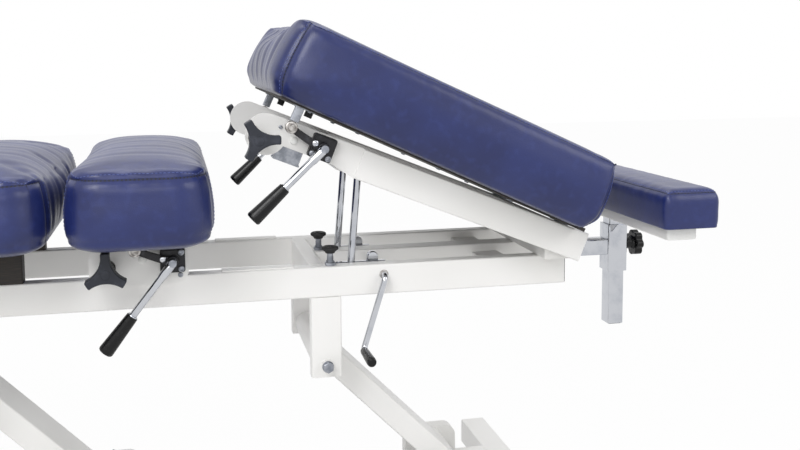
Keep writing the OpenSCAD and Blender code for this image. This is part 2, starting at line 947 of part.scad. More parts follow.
module lumbar_blocks() {
    color(black)
        for (side = [-1, 1])
            at_lumbar_hub(side)
                hub_block(0);
}

module lumbar_shaft() {
    color(zinc)
        on_frame()
            rod_y(lumbar_hub_x, lumbar_hub_z, -lumbar_face - shaft_half, lumbar_face + shaft_half, bolt_r);
}

module lumbar_lever_near() {
    at_lumbar_hub(-1)
        lever_unit(lumbar_cam_angle, lumbar_lever_angle, lever_len);
}

module lumbar_lever_far() {
    at_lumbar_hub(1)
        lever_unit(lumbar_cam_angle, lumbar_lever_angle, lever_len);
}

module lumbar_knob(side) {
    color(black)
        on_frame()
            out_from(side, lumbar_face)
                translate([lumbar_knob_x, 0, lumbar_knob_z])
                    lobed_knob();
}

module lumbar_knob_near() {
    lumbar_knob(-1);
}

module lumbar_knob_far() {
    lumbar_knob(1);
}

// Lumbar board with its wear pads and the flanges that slide inside the plates
board_inset = 38;
board_r = 20;
flange_t = 8;
flange_x1 = -240;
flange_low = 15;
module lumbar_board() {
    roller_x = lumbar_hub_x + cam_len * cos(lumbar_cam_angle);
    z0 = pad_z - board_t;
    flange_x0 = plate_x0 + plate_r;
    color(timber)
        on_frame() {
            bar_z((lumbar_x0 + lumbar_x1) / 2, 0, z0, pad_z, lumbar_len - 2 * board_inset,
                pad_w - 2 * board_inset, board_r);
            for (side = [-1, 1])
                out_from(side, 0) {
                    translate([flange_x0, frame_w / 2 - seat_gap - flange_t, flange_low])
                        cube([flange_x1 - flange_x0, flange_t, z0 - flange_low + cut]);
                    translate([roller_x - wear_w / 2, lumbar_face + roller_y, z0 - wear_t])
                        cube([wear_w, roller_t, wear_t + cut]);
                }
        }
}

pad_corner = 62;
pad_roll = 45;
flute_d = 7;
flute_steps = 30;
module lumbar_cushion() {
    color(vinyl)
        on_frame()
            translate([(lumbar_x0 + lumbar_x1) / 2, 0, pad_z])
                pad(lumbar_len, pad_w, lumbar_side, lumbar_crown, pad_corner, pad_roll, 4, flute_steps, flute_d);
}

// Pelvic carriage, drawn about its hinge pin with X down its slope
hinge_s = 350;
hinge_n = 22.6;
side_top = side_h - hinge_n;
cross_s = -381;
cross_w = 38;
cross_h = 40;
rear_s = -24;
rear_w = 36;
rear_h = 14;
prop_s = -331.5;
prop_n = -4.5;
prop_lean = 4.9;
prop_low = -26;
prop_pin_r = 4;
prop_lug_r = 8;
prop_lug_t = 5;
prop_eye_r = 9;
prop_eye_t = 10;
prop_neck = prop_lug_r + prop_d / 2;
prop_len = (hinge_z - prop_s * sin(tilt_angle) + prop_n * cos(tilt_angle) - prop_low) / cos(prop_lean);
drop_s = 23.7;
drop_pin_r = 3;
drop_lug_r = 5.5;
drop_lug_t = 7;
drop_lug_y = 140;
drop_n = side_top - drop_lug_r;
nose_r = 32;
neck_low = -14;
flare_s = 41;
flare_foot = 3;
tongue_step = 2;
tongue_face = carriage_w / 2 - tongue_step;
pelvic_hub_s = -415;
pelvic_hub_n = 5;
pelvic_cam_angle = 167.3;
pelvic_lever_angle = 245;
pelvic_knob_s = -513.6;
pelvic_knob_n = -16.3;
pelvic_knob_turn = 30;

module about_hinge() {
    on_frame()
        translate([hinge_x, 0, hinge_z])
            rotate([0, tilt_angle, 0])
                children();
}

// Side rail with its tongue plate, whose nose carries the tension knob
module carriage_side(side) {
    nose_s = -hinge_s - tongue_len + nose_r;
    color(paint)
        about_hinge() {
            bar_x(-hinge_s, side_len - hinge_s, side * (carriage_w - side_w) / 2, side_top, side_w, side_h);
            out_from(side, tongue_face - tongue_t)
                difference() {
                    translate([0, tongue_t, 0])
                        rotate([90, 0, 0])
                            linear_extrude(tongue_t) {
                                translate([nose_s, side_top - nose_r])
                                    circle(nose_r);
                                translate([nose_s, neck_low])
                                    square([-hinge_s - nose_s + cut, side_top - neck_low]);
                                polygon([[-hinge_s - flare_s, neck_low], [-hinge_s + cut, neck_low],
                                    [-hinge_s + cut, -hinge_n], [-hinge_s - flare_foot, -hinge_n]]);
                            }
                    rod_y(pelvic_hub_s, pelvic_hub_n, -cut, tongue_t + cut, bolt_r + run_fit);
                }
        }
}

module carriage_side_near() {
    carriage_side(-1);
}

module carriage_side_far() {
    carriage_side(1);
}

// Front tube with the prop lugs, and rear tube with the lugs of the hinge and of the drop hinge
module carriage_cross() {
    color(paint)
        about_hinge() {
            bar_y(cross_s, -carriage_in, carriage_in, cross_h - cross_drop, cross_w, cross_h);
            bar_y(rear_s, -carriage_in, carriage_in, side_top, rear_w, rear_h);
            for (y = [prop_near_y, prop_far_y]) {
                for (end = [-1, 1])
                    translate([0, y + end * (prop_eye_t / 2 + seat_gap + prop_lug_t / 2) + prop_lug_t / 2, 0])
                        rotate([90, 0, 0])
                            linear_extrude(prop_lug_t) {
                                translate([prop_s, prop_n])
                                    circle(prop_lug_r);
                                translate([cross_s + cross_w - cut, prop_n - prop_lug_r])
                                    square([prop_s - cross_s - cross_w + cut, 2 * prop_lug_r]);
                            }
                rod_y(prop_s, prop_n, y - prop_eye_t / 2 - prop_lug_t, y + prop_eye_t / 2 + prop_lug_t, prop_pin_r);
            }
            for (side = [-1, 1])
                out_from(side, 0) {
                    translate([0, lug_y + lug_t / 2 + side_gap + lug_t, 0])
                        rotate([90, 0, 0])
                            linear_extrude(lug_t) {
                                circle(lug_r);
                                translate([-lug_r, 0])
                                    square([2 * lug_r, side_top - rear_h + cut]);
                            }
                    rod_y(0, 0, lug_y - lug_t, lug_y + 2 * lug_t, hinge_pin_r);
                    translate([0, drop_lug_y + drop_lug_t, 0])
                        rotate([90, 0, 0])
                            linear_extrude(drop_lug_t) {
                                translate([drop_s, drop_n])
                                    circle(drop_lug_r);
                                translate([rear_s + rear_w - cut, drop_n - drop_lug_r])
                                    square([drop_s - rear_s - rear_w + cut, 2 * drop_lug_r]);
                            }
                    rod_y(drop_s, drop_n, drop_lug_y - drop_lug_t - side_gap, drop_lug_y + drop_lug_t, drop_pin_r);
                }
        }
}

// Draws its children about the pelvic hub, out from the tongue plate on one side
module at_pelvic_hub(side) {
    about_hinge()
        out_from(side, tongue_face)
            translate([pelvic_hub_s, 0, pelvic_hub_n])
                children();
}

// Bearing blocks, and the tension block that hangs inside the near tongue plate
tension_s0 = -478;
tension_s1 = -437;
tension_n0 = -37;
tension_n1 = 5;
tension_t = 30;
module pelvic_blocks() {
    color(black)
        for (side = [-1, 1])
            at_pelvic_hub(side)
                hub_block(90);
    color(zinc)
        about_hinge()
            out_from(-1, tongue_face - tongue_t - tension_t)
                translate([tension_s0, 0, tension_n0])
                    cube([tension_s1 - tension_s0, tension_t, tension_n1 - tension_n0]);
}

// Prop rod hanging from its lugs, its lower end between the rail and the clamp
module prop_rod(y) {
    color(chrome)
        about_hinge()
            translate([prop_s, y, prop_n])
                rotate([0, prop_lean - tilt_angle, 0])
                    difference() {
                        union() {
                            rod_y(0, 0, -prop_eye_t / 2, prop_eye_t / 2, prop_eye_r);
                            translate([-prop_eye_t / 2, -prop_eye_t / 2, -prop_neck - cut])
                                cube([prop_eye_t, prop_eye_t, prop_neck + cut]);
                            translate([0, 0, -prop_len])
                                cylinder(h = prop_len - prop_neck, r = prop_d / 2);
                        }
                        rod_y(0, 0, -prop_eye_t, prop_eye_t, prop_pin_r + run_fit);
                    }
}

module prop_rod_near() {
    prop_rod(prop_near_y);
}

module prop_rod_far() {
    prop_rod(prop_far_y);
}

module pelvic_shaft() {
    color(zinc)
        about_hinge()
            rod_y(pelvic_hub_s, pelvic_hub_n, -tongue_face - shaft_half, tongue_face + shaft_half, bolt_r);
}

module pelvic_lever_near() {
    at_pelvic_hub(-1)
        lever_unit(pelvic_cam_angle, pelvic_lever_angle, pelvic_lever_len);
}

module pelvic_lever_far() {
    at_pelvic_hub(1)
        lever_unit(pelvic_cam_angle, pelvic_lever_angle, pelvic_lever_len);
}

module pelvic_knob(side) {
    color(black)
        about_hinge()
            out_from(side, tongue_face)
                translate([pelvic_knob_s, 0, pelvic_knob_n])
                    rotate([0, -tilt_angle - pelvic_knob_turn, 0])
                        lobed_knob();
}

module pelvic_knob_near() {
    pelvic_knob(-1);
}

module pelvic_knob_far() {
    pelvic_knob(1);
}

// Pelvic board and cushion, drawn about the drop hinge in the cocked pose
pad_foot_s = 14.4;
board_clear = 1;
board_low = side_top + board_clear - drop_n;
post_pad_w = 14;
post_edge = 8.6;
stop_s = -476;
stop_w = 12;
stop_step = 3;
module about_drop() {
    about_hinge()
        translate([drop_s, 0, drop_n])
            rotate([0, cock_angle, 0])
                children();
}

// The board has ears on the drop hinge, posts over the rollers and rubber stops over the tongue plates
module pelvic_board() {
    roller_s = pelvic_hub_s + cam_len * cos(pelvic_cam_angle) - drop_s;
    roller_n = pelvic_hub_n + cam_len * sin(pelvic_cam_angle) - drop_n;
    post_s = roller_s * cos(cock_angle) - roller_n * sin(cock_angle);
    post_low = roller_s * sin(cock_angle) + roller_n * cos(cock_angle) + roller_d / 2 + seat_gap;
    down = cock_angle - drop_angle;
    stop_low = (side_top + seat_gap - drop_n + (stop_s + stop_w / 2) * sin(down)) / cos(down);
    board_x0 = pad_foot_s - pelvic_len + board_inset;
    color(timber)
        about_drop() {
            bar_z((board_x0 + drop_lug_r) / 2, 0, board_low, board_low + pelvic_board_t,
                drop_lug_r - board_x0, 2 * (tongue_face + roller_y + roller_t + post_edge), drop_lug_r);
            for (side = [-1, 1])
                out_from(side, 0) {
                    translate([post_s - post_pad_w / 2, tongue_face + roller_y, post_low])
                        cube([post_pad_w, roller_t, board_low - post_low + cut]);
                    translate([stop_s - stop_w / 2, tongue_face - tongue_t - stop_step, stop_low])
                        cube([stop_w, tongue_t + 2 * stop_step, board_low - stop_low + cut]);
                    difference() {
                        translate([0, drop_lug_y - side_gap / 2, 0])
                            rotate([90, 0, 0])
                                linear_extrude(drop_lug_t - side_gap / 2) {
                                    circle(drop_lug_r);
                                    translate([-drop_lug_r, 0])
                                        square([2 * drop_lug_r, board_low + cut]);
                                }
                        rod_y(0, 0, 0, carriage_w, drop_pin_r + run_fit);
                    }
                }
        }
}

module pelvic_cushion() {
    color(vinyl)
        about_drop()
            translate([pad_foot_s - pelvic_len / 2, 0, board_low + pelvic_board_t])
                pad(pelvic_len, pad_w, pelvic_side, pelvic_crown, pad_corner, pad_roll, 4, flute_steps, flute_d);
}

// Foot rest: a bar that slides in the middle rail, a sleeve, and a post that slides in the sleeve
bar_inner_x = 187;
bar_top = mid_h / 2 - post_w / 2;
sleeve_low = -66;
sleeve_top = 22;
post_top = 39;
foot_knob_z = -17;
foot_stud_hole_r = 5;
foot_beam_x = -34;
foot_beam_w = 52;
foot_beam_h = 21;
foot_beam_y = 250;
module foot_bar() {
    color(chrome)
        on_frame()
            difference() {
                union() {
                    bar_x(bar_inner_x, post_x - sleeve_w / 2 + cut, 0, -bar_top, post_w, post_w);
                    bar_z(post_x, 0, sleeve_low, sleeve_top, sleeve_w, sleeve_w);
                }
                bar_z(post_x, 0, sleeve_low - cut, sleeve_top + cut, post_w + 2 * seat_gap, post_w + 2 * seat_gap);
                rod_x(post_x, foot_end, 0, foot_knob_z, foot_stud_hole_r + run_fit);
            }
}

module foot_post() {
    color(chrome)
        on_frame()
            bar_z(post_x, 0, -post_drop, post_top, post_w, post_w);
    color(paint)
        on_frame()
            bar_y(post_x + foot_beam_x, -foot_beam_y, foot_beam_y, post_top + foot_beam_h, foot_beam_w, foot_beam_h);
}

module foot_cushion() {
    color(vinyl)
        on_frame()
            translate([post_x, 0, post_top + foot_beam_h])
                pad(foot_pad_len, foot_pad_w, foot_pad_side, foot_pad_crown, foot_pad_corner, foot_pad_roll, 2, 6, 0);
}

foot_pad_corner = 26;
foot_pad_roll = 22;
star_r = 24;
star_lobes = 7;
star_flank_share = 0.3;
module foot_knob() {
    knob_x = foot_end - star_knob_t;
    color(black)
        on_frame() {
            rod_x(post_x + post_w / 2 + seat_gap, knob_x + cut, 0, foot_knob_z, foot_stud_hole_r);
            rod_x(knob_x - knob_neck + run_fit, knob_x + cut, 0, foot_knob_z, star_r / 2);
            translate([knob_x, 0, foot_knob_z])
                rotate([90, 0, 90])
                    linear_extrude(star_knob_t)
                        difference() {
                            circle(star_r);
                            for (k = [0 : star_lobes - 1])
                                rotate(k * 360 / star_lobes)
                                    translate([star_r * (1 + star_flank_share / 2), 0])
                                        circle(star_r * star_flank_share);
                        }
        }
}

// Thoracic section, fixed on four risers
riser_w = 40;
riser_in = 55;
module thoracic_board() {
    z0 = pad_z - board_t;
    color(paint)
        on_frame()
            for (x = [thoracic_x0 + riser_in + riser_w / 2, thoracic_x1 - riser_in - riser_w / 2], y = [-rail_y, rail_y])
                bar_z(x, y, 0, z0 + cut, riser_w, rail_w);
    color(timber)
        on_frame()
            bar_z((thoracic_x0 + thoracic_x1) / 2, 0, z0, pad_z, thoracic_len - 2 * board_inset,
                pad_w - 2 * board_inset, board_r);
}

module thoracic_cushion() {
    color(vinyl)
        on_frame()
            translate([(thoracic_x0 + thoracic_x1) / 2, 0, pad_z])
                pad(thoracic_len, pad_w, lumbar_side, lumbar_crown, pad_corner, pad_roll, 4, flute_steps, flute_d);
}

// Head section: rods that slide in the end cross member, a yoke, and the tilting board
slide_inner_x = -680;
yoke_x = -850;
yoke_w = 24;
yoke_half = 80;
head_pivot_z = 40;
head_pin_r = 6;
head_lug_r = 12;
head_lug_t = 8;
head_ear_y = 60;
head_pad_z = 100;
head_board_t = 12;
head_board_in = 26;
head_board_w = 280;
head_slot_w = 60;
head_bridge = 70;
module head_frame() {
    color(chrome)
        on_frame()
            for (y = [-slide_y, slide_y])
                rod_x(yoke_x + yoke_w - cut, slide_inner_x, y, -rail_h / 2, slide_r);
    color(paint)
        on_frame() {
            bar_y(yoke_x, -yoke_half - slide_r, yoke_half + slide_r, 0, yoke_w, rail_h);
            for (y = [-head_ear_y, head_ear_y])
                translate([yoke_x + yoke_w / 2, y + head_lug_t / 2, 0])
                    rotate([90, 0, 0])
                        linear_extrude(head_lug_t) {
                            translate([0, head_pivot_z])
                                circle(head_lug_r);
                            translate([-head_lug_r, -cut])
                                square([2 * head_lug_r, head_pivot_z + cut]);
                        }
            rod_y(yoke_x + yoke_w / 2, head_pivot_z, -head_ear_y - 2 * head_lug_t, head_ear_y + 2 * head_lug_t,
                head_pin_r);
        }
}

// Head board with its face slot and the lugs that hang on the yoke's pin
module head_board() {
    z0 = head_pad_z - head_board_t;
    x0 = head_x0 + head_board_in;
    x1 = yoke_x + yoke_w / 2 + head_lug_r;
    color(timber)
        on_frame() {
            difference() {
                bar_z((x0 + x1) / 2, 0, z0, head_pad_z, x1 - x0, head_board_w, board_r);
                translate([x0 - cut, -head_slot_w / 2, z0 - cut])
                    cube([x1 - x0 - head_bridge + cut, head_slot_w, head_board_t + 2 * cut]);
            }
            for (side = [-1, 1])
                out_from(side, head_ear_y + head_lug_t / 2 + side_gap)
                    difference() {
                        translate([yoke_x + yoke_w / 2, head_lug_t, 0])
                            rotate([90, 0, 0])
                                linear_extrude(head_lug_t) {
                                    translate([0, head_pivot_z])
                                        circle(head_lug_r);
                                    translate([-head_lug_r, head_pivot_z])
                                        square([2 * head_lug_r, z0 - head_pivot_z + cut]);
                                }
                        rod_y(yoke_x + yoke_w / 2, head_pivot_z, -cut, head_lug_t + cut, head_pin_r + run_fit);
                    }
        }
}

head_crown = 15;
head_corner = 40;
head_roll = 26;
module head_cushion(side) {
    color(vinyl)
        on_frame()
            translate([(head_x0 + head_x1) / 2, side * (face_gap + head_w) / 2, head_pad_z])
                pad(head_len, head_w, head_side, head_crown, head_corner, head_roll, 2, 2, 0);
}

module head_cushion_near() {
    head_cushion(-1);
}

module head_cushion_far() {
    head_cushion(1);
}

base_rail_near();
base_rail_far();
base_cross_foot();
base_cross_head();
floor_feet();
actuator();
foot_arm();
foot_arm_top_tube();
foot_arm_low_tube();
head_arm();
head_arm_top_tube();
head_arm_low_tube();
lift_rod();
rail_near();
rail_mid();
rail_far();
cross_front();
cross_rear();
hinge_beam();
cross_head();
bracket_foot_near();
bracket_foot_far();
bracket_head_near();
bracket_head_far();
bumpers();
clamp_plates();
lumbar_plate_near();
lumbar_plate_far();
lumbar_blocks();
carriage_side_near();
carriage_side_far();
carriage_cross();
pelvic_blocks();
prop_rod_near();
prop_rod_far();
clamp_fixings();
clamp_crank();
pelvic_board();
pelvic_cushion();
lumbar_board();
lumbar_cushion();
lumbar_shaft();
lumbar_lever_near();
lumbar_lever_far();
pelvic_shaft();
pelvic_lever_near();
pelvic_lever_far();
lumbar_knob_near();
lumbar_knob_far();
pelvic_knob_near();
pelvic_knob_far();
foot_bar();
foot_post();
foot_cushion();
foot_knob();
thoracic_board();
thoracic_cushion();
head_frame();
head_board();
head_cushion_near();
head_cushion_far();
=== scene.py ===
"""Chiropractic table: upholstery, controls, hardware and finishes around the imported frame."""

import math
from dataclasses import dataclass

import bmesh
import bpy
import numpy as np
from mathutils import Matrix, Vector
from mathutils.bvhtree import BVHTree


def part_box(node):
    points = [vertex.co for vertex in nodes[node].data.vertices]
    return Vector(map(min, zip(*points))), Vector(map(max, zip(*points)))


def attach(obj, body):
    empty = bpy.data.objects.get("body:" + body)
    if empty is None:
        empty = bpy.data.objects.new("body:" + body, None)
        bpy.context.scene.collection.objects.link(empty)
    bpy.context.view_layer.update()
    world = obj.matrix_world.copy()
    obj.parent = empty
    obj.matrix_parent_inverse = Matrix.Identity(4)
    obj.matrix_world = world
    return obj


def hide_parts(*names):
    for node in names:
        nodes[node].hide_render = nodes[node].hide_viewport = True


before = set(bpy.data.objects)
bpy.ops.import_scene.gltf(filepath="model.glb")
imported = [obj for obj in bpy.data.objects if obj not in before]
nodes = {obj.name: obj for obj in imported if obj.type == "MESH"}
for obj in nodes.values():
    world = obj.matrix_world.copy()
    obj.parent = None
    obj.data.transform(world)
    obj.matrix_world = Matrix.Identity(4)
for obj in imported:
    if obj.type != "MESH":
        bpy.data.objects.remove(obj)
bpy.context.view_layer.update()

MM = 0.001
STITCH_PITCH = 0.0058


def placed(name, data):
    """A new object in the scene."""
    made = bpy.data.objects.new(name, data)
    bpy.context.scene.collection.objects.link(made)
    return made


# ---------------------------------------------------------------- node trees


class Wire:
    """A value in a node tree that adds, scales and compares like a number."""

    def __init__(self, owner, socket):
        self.owner = owner
        self.socket = socket

    def maths(self, operation, *terms):
        return self.owner.node("ShaderNodeMath", {"operation": operation}, dict(enumerate(terms)))

    def __add__(self, other):
        return self.maths("ADD", self, other)

    __radd__ = __add__

    def __sub__(self, other):
        return self.maths("SUBTRACT", self, other)

    def __rsub__(self, other):
        return self.maths("SUBTRACT", other, self)

    def __mul__(self, other):
        return self.maths("MULTIPLY", self, other)

    __rmul__ = __mul__

    def __abs__(self):
        return self.maths("ABSOLUTE", self)

    def wave(self):
        return self.maths("SINE", self)

    def over(self, low, high):
        """0 below low, 1 above high, and smooth between them."""
        return self.owner.node(
            "ShaderNodeMapRange",
            {"interpolation_type": "SMOOTHSTEP"},
            {"Value": self, "From Min": low, "From Max": high},
        )

    def also(self, output):
        """Another output of the same node."""
        return Wire(self.owner, self.socket.node.outputs[output])


class Tree:
    """A node tree in the making; node() makes any node in it."""

    def __init__(self, tree):
        self.tree = tree

    def node(self, kind, settings, inputs, output=0):
        made = self.tree.nodes.new(kind)
        for key, value in settings.items():
            setattr(made, key, value)
        for key, value in inputs.items():
            self.join(value, made.inputs[key])
        return Wire(self, made.outputs[output]) if len(made.outputs) else made

    def join(self, value, socket):
        if isinstance(value, Wire):
            self.tree.links.new(value.socket, socket)
        else:
            socket.default_value = value


def screen(red, green, blue):
    """Linear colour of a colour given in screen values from 0 to 255."""
    return tuple(((v / 255 + 0.055) / 1.055) ** 2.4 if v > 10 else v / 255 / 12.92 for v in (red, green, blue))


class Finish(Tree):
    """One surface finish: its material, and the slot that it stands for."""

    def __init__(self, name, slot, metallic=0.0):
        self.material = bpy.data.materials.new(name)
        self.material.use_nodes = True
        self.slot = slot
        super().__init__(self.material.node_tree)
        self.shader = self.tree.nodes["Principled BSDF"]
        self.set("Metallic", metallic)

    def set(self, name, value):
        self.join(value, self.shader.inputs[name])

    def constants(self, **values):
        """Plain values of the shader, such as Coat_Weight=0.1."""
        for name, value in values.items():
            self.set(name.replace("_", " "), value)
        return self

    def place(self, stretch=None):
        """Object coordinates, stretched where stretch is given."""
        raw = self.node("ShaderNodeTexCoord", {}, {}, "Object")
        return self.node("ShaderNodeMapping", {}, {"Vector": raw, "Scale": stretch}) if stretch else raw

    def noise(self, scale, detail=1, where=None):
        return self.node("ShaderNodeTexNoise", {}, {"Vector": where or self.place(), "Scale": scale, "Detail": detail})

    def cells(self, scale, where=None):
        return self.node("ShaderNodeTexVoronoi", {}, {"Vector": where or self.place(), "Scale": scale})

    def attribute(self, name):
        return self.node("ShaderNodeAttribute", {"attribute_name": name}, {}, "Fac")

    def between(self, mask, low, high):
        """Colour low where mask is 0 and high where it is 1."""
        low, high = (c if isinstance(c, Wire) else (*screen(*c), 1.0) for c in (low, high))
        return self.node("ShaderNodeMix", {"data_type": "RGBA"}, {0: mask, 6: low, 7: high}, 2)

    def surface(self, colour, roughness, height, depth):
        """Sets what varies: the colour, the roughness and a relief of a height of 0 to 1, depth metres deep."""
        self.set("Base Color", colour)
        self.set("Roughness", roughness)
        self.set("Normal", self.node("ShaderNodeBump", {}, {"Height": height, "Distance": depth, "Strength": 1.0}))
        return self


class Growth(Tree):
    """A geometry tree with named inputs, run on a mesh to give a plain mesh."""

    def __init__(self, name, inputs):
        super().__init__(bpy.data.node_groups.new(name, "GeometryNodeTree"))
        face = self.tree.interface
        face.new_socket("Geometry", in_out="INPUT", socket_type="NodeSocketGeometry")
        face.new_socket("Geometry", in_out="OUTPUT", socket_type="NodeSocketGeometry")
        for label, kind in inputs.items():
            face.new_socket(label, in_out="INPUT", socket_type="NodeSocket" + kind)
        self.source = self.tree.nodes.new("NodeGroupInput")

    def given(self, label):
        return Wire(self, self.source.outputs[label])

    def close(self, instances):
        solid = self.node("GeometryNodeRealizeInstances", {}, {"Geometry": instances})
        solid = self.node("GeometryNodeSetMaterial", {}, {"Geometry": solid, "Material": self.given("Material")})
        self.node("NodeGroupOutput", {}, {"Geometry": solid})

    def run(self, name, mesh, values):
        host = placed(name, mesh)
        modifier = host.modifiers.new(name, "NODES")
        modifier.node_group = self.tree
        for item in self.tree.interface.items_tree:
            if item.in_out == "INPUT" and item.name in values:
                modifier[item.identifier] = values[item.name]
        whole = host.evaluated_get(bpy.context.evaluated_depsgraph_get())
        plain = bpy.data.meshes.new_from_object(whole)
        host.modifiers.clear()
        host.data = plain
        return host


# ---------------------------------------------------------------- finishes


def powder_coat():
    """White powder coat with its fine orange peel."""
    f = Finish("white_powder_coat", "white_paint")
    broad, peel = f.noise(6), f.noise(420)
    tone = f.between(broad.over(0.35, 0.7), (243, 242, 240), (236, 235, 232))
    return f.surface(tone, 0.3 + 0.1 * broad + 0.08 * peel, peel, 0.00008).constants(
        Coat_Weight=0.12, Coat_Roughness=0.12)


def upholstery():
    """Blue vinyl with a leather grain and painted shade in its seams; the pads carry the place of their seams in
    attributes.
    """
    deep, mid, worn, painted_seam_shade = (20, 31, 84), (27, 40, 98), (38, 51, 113), (5, 6, 14)
    f = Finish("blue_vinyl_sewn", "blue_vinyl")
    where = f.place()
    soft, drift, grain = f.noise(11, 2, where), f.noise(75, 1, where), f.cells(640, where)
    gap = 1.0 - abs(f.attribute("seam_across")).over(0.0006, 0.0019)
    holes = (f.attribute("seam_along") * (2.0 * math.pi / STITCH_PITCH)).wave().over(-0.1, 0.7)
    tone = f.between(soft.over(0.3, 0.7), deep, mid)
    tone = f.between(0.5 * drift.over(0.45, 0.8), tone, worn)
    tone = f.between(0.3 * grain.over(0.45, 0.8), tone, deep)
    # painted shade: the seam groove and its stitch holes are darkened towards near black
    tone = f.between(gap * (0.5 + 0.45 * holes), tone, painted_seam_shade)
    relief = 1.0 - 0.11 * grain - gap * (0.5 + 0.4 * holes)
    return f.surface(tone, 0.27 + 0.08 * drift + 0.08 * grain + 0.3 * gap, relief, 0.0007).constants(
        Coat_Weight=0.1, Coat_Roughness=0.22, Sheen_Weight=0.05, Sheen_Roughness=0.4)


def chrome_plate():
    """Bright chrome with faint smudges and hairline scratches."""
    f = Finish("bright_chrome", "chrome", 1)
    smudge, hairline = f.noise(38, 3), f.noise(900, 1, f.place((1, 1, 0.05)))
    tone = f.between(smudge.over(0.4, 0.8), (196, 198, 203), (180, 183, 190))
    return f.surface(tone, 0.035 + 0.1 * smudge.over(0.45, 0.85), hairline, 0.000004)


def zinc_plate():
    """Bright zinc plate with a drawn grain and cloudy patches."""
    f = Finish("zinc_plate", "zinc", 1)
    cloud, drawn = f.noise(85, 3), f.noise(1300, 1, f.place((1, 0.08, 0.4)))
    tone = f.between(cloud.over(0.35, 0.7), (170, 173, 180), (132, 136, 144))
    return f.surface(tone, 0.36 + 0.14 * cloud + 0.08 * drawn, drawn, 0.00002)


def bearing_steel():
    """Ground steel of the rollers and screws, darker where the oil has set."""
    f = Finish("bearing_steel", "zinc", 1)
    oil = f.noise(160, 3)
    tone = f.between(oil.over(0.35, 0.7), (196, 193, 190), (140, 135, 131))
    return f.surface(tone, 0.3 + 0.16 * oil, f.noise(2400), 0.000012)


def glossy_plastic():
    """Black grips, moulded glossy and scuffed by hands."""
    f = Finish("glossy_black", "black_plastic")
    scuff, flow = f.noise(210, 3), f.noise(24)
    tone = f.between(scuff.over(0.55, 0.85), (10, 10, 12), (28, 28, 31))
    return f.surface(tone, 0.2 + 0.16 * scuff.over(0.45, 0.85) + 0.05 * flow, flow, 0.00008).constants(
        Specular_IOR_Level=0.3)


def textured_plastic():
    """Slate grey knobs, moulded with a fine spark texture."""
    f = Finish("textured_slate", "black_plastic")
    spark, rub = f.cells(1500), f.noise(70, 2)
    tone = f.between(rub.over(0.45, 0.8), (40, 43, 51), (58, 61, 70))
    return f.surface(tone, 0.4 + 0.14 * spark + 0.06 * rub, spark, 0.00006).constants(Specular_IOR_Level=0.35)


def cast_iron():
    """Black cast cam arms and bearing blocks, with a sand cast skin."""
    f = Finish("black_casting", "black_plastic", 0.25)
    skin, rub = f.noise(560, 3), f.noise(95, 2)
    tone = f.between(rub.over(0.5, 0.8), (27, 27, 31), (56, 57, 62))
    return f.surface(tone, 0.36 + 0.2 * skin, skin, 0.00028)


def mottled(name, slot, low, high, grain, roughness, depth, stretch=None, edges=None):
    """A finish whose colour, roughness and relief all follow one noise."""
    f = Finish(name, slot)
    mask = f.noise(*grain, f.place(stretch))
    tone = f.between(mask.over(*edges) if edges else mask, low, high)
    return f.surface(tone, roughness[0] + roughness[1] * mask, mask, depth)


WHITE, VINYL, CHROME, ZINC = powder_coat(), upholstery(), chrome_plate(), zinc_plate()
STEEL, GLOSS, SLATE, CASTING = bearing_steel(), glossy_plastic(), textured_plastic(), cast_iron()
# Matt rubber with a dusty bloom, stained plywood, twisted thread and moulded caps
RUBBER = mottled("black_rubber", "rubber", (20, 20, 21), (40, 40, 42), (130, 3), (0.55, 0.25), 0.00012,
                 edges=(0.4, 0.75))
BOARD = mottled("stained_board", "board", (24, 21, 19), (52, 44, 37), (40, 3), (0.5, 0.25), 0.00018, (1, 14, 30),
                (0.35, 0.7))
THREAD = mottled("seam_thread", "blue_vinyl", (66, 80, 142), (106, 121, 182), (1800, 1), (0.45, 0.2), 0.0001)
BUTTON = mottled("white_cap", "white_paint", (244, 244, 242), (234, 234, 230), (240, 1), (0.24, 0.12), 0.00003)

# ---------------------------------------------------------------- rigid pieces

SIDES = (("near", -1), ("far", 1))
OUTWARD = Vector((0, 0, 1))
SHARP_EDGE = math.radians(32)


def spot(x, y, z):
    """An upright place at a point in millimetres."""
    return Matrix.Translation((x, y, z))


def facing(x, z, face, side, tilt=0):
    """A place on a side face: X along the table or down its slope, Y up, Z outwards."""
    slope = math.radians(tilt)
    return Matrix((
        (math.cos(slope), math.sin(slope), 0, x),
        (0, 0, side, side * face),
        (-math.sin(slope), math.cos(slope), 0, z),
        (0, 0, 0, 1),
    ))


def both(x, z, face, tilt=0):
    """The same place on both side faces of the table."""
    return [facing(x, z, face, side, tilt) for _, side in SIDES]


def along_table(z):
    """A place on the middle plane at height z, with its Z towards the foot end."""
    return Matrix(((0, 0, 1, 0), (0, -1, 0, 0), (1, 0, 0, z), (0, 0, 0, 1)))


def sloping(x, z, tilt):
    """A place on a sloping plane: X down the slope, Y across the table, Z out of the plane."""
    return spot(x, 0, z) @ Matrix.Rotation(math.radians(tilt), 4, "Y")


def toward(direction):
    """A turn that lays Z along a direction."""
    return Vector(direction).to_track_quat("Z", "Y").to_matrix().to_4x4()


def ray(angle, length=1, out=0):
    """A point at that angle and length from the centre of a place, and out from its face."""
    return Vector((length * math.cos(math.radians(angle)), length * math.sin(math.radians(angle)), out))


def circle(radius, count=40, flats=0):
    """Points of a circle, or of a polygon with that many flats at that distance."""
    points = []
    for k in range(count):
        a = 2 * math.pi * k / count
        r = radius
        if flats:
            part = 2 * math.pi / flats
            r = radius / math.cos((a + part / 2) % part - part / 2)
        points.append((r * math.cos(a), r * math.sin(a)))
    return points


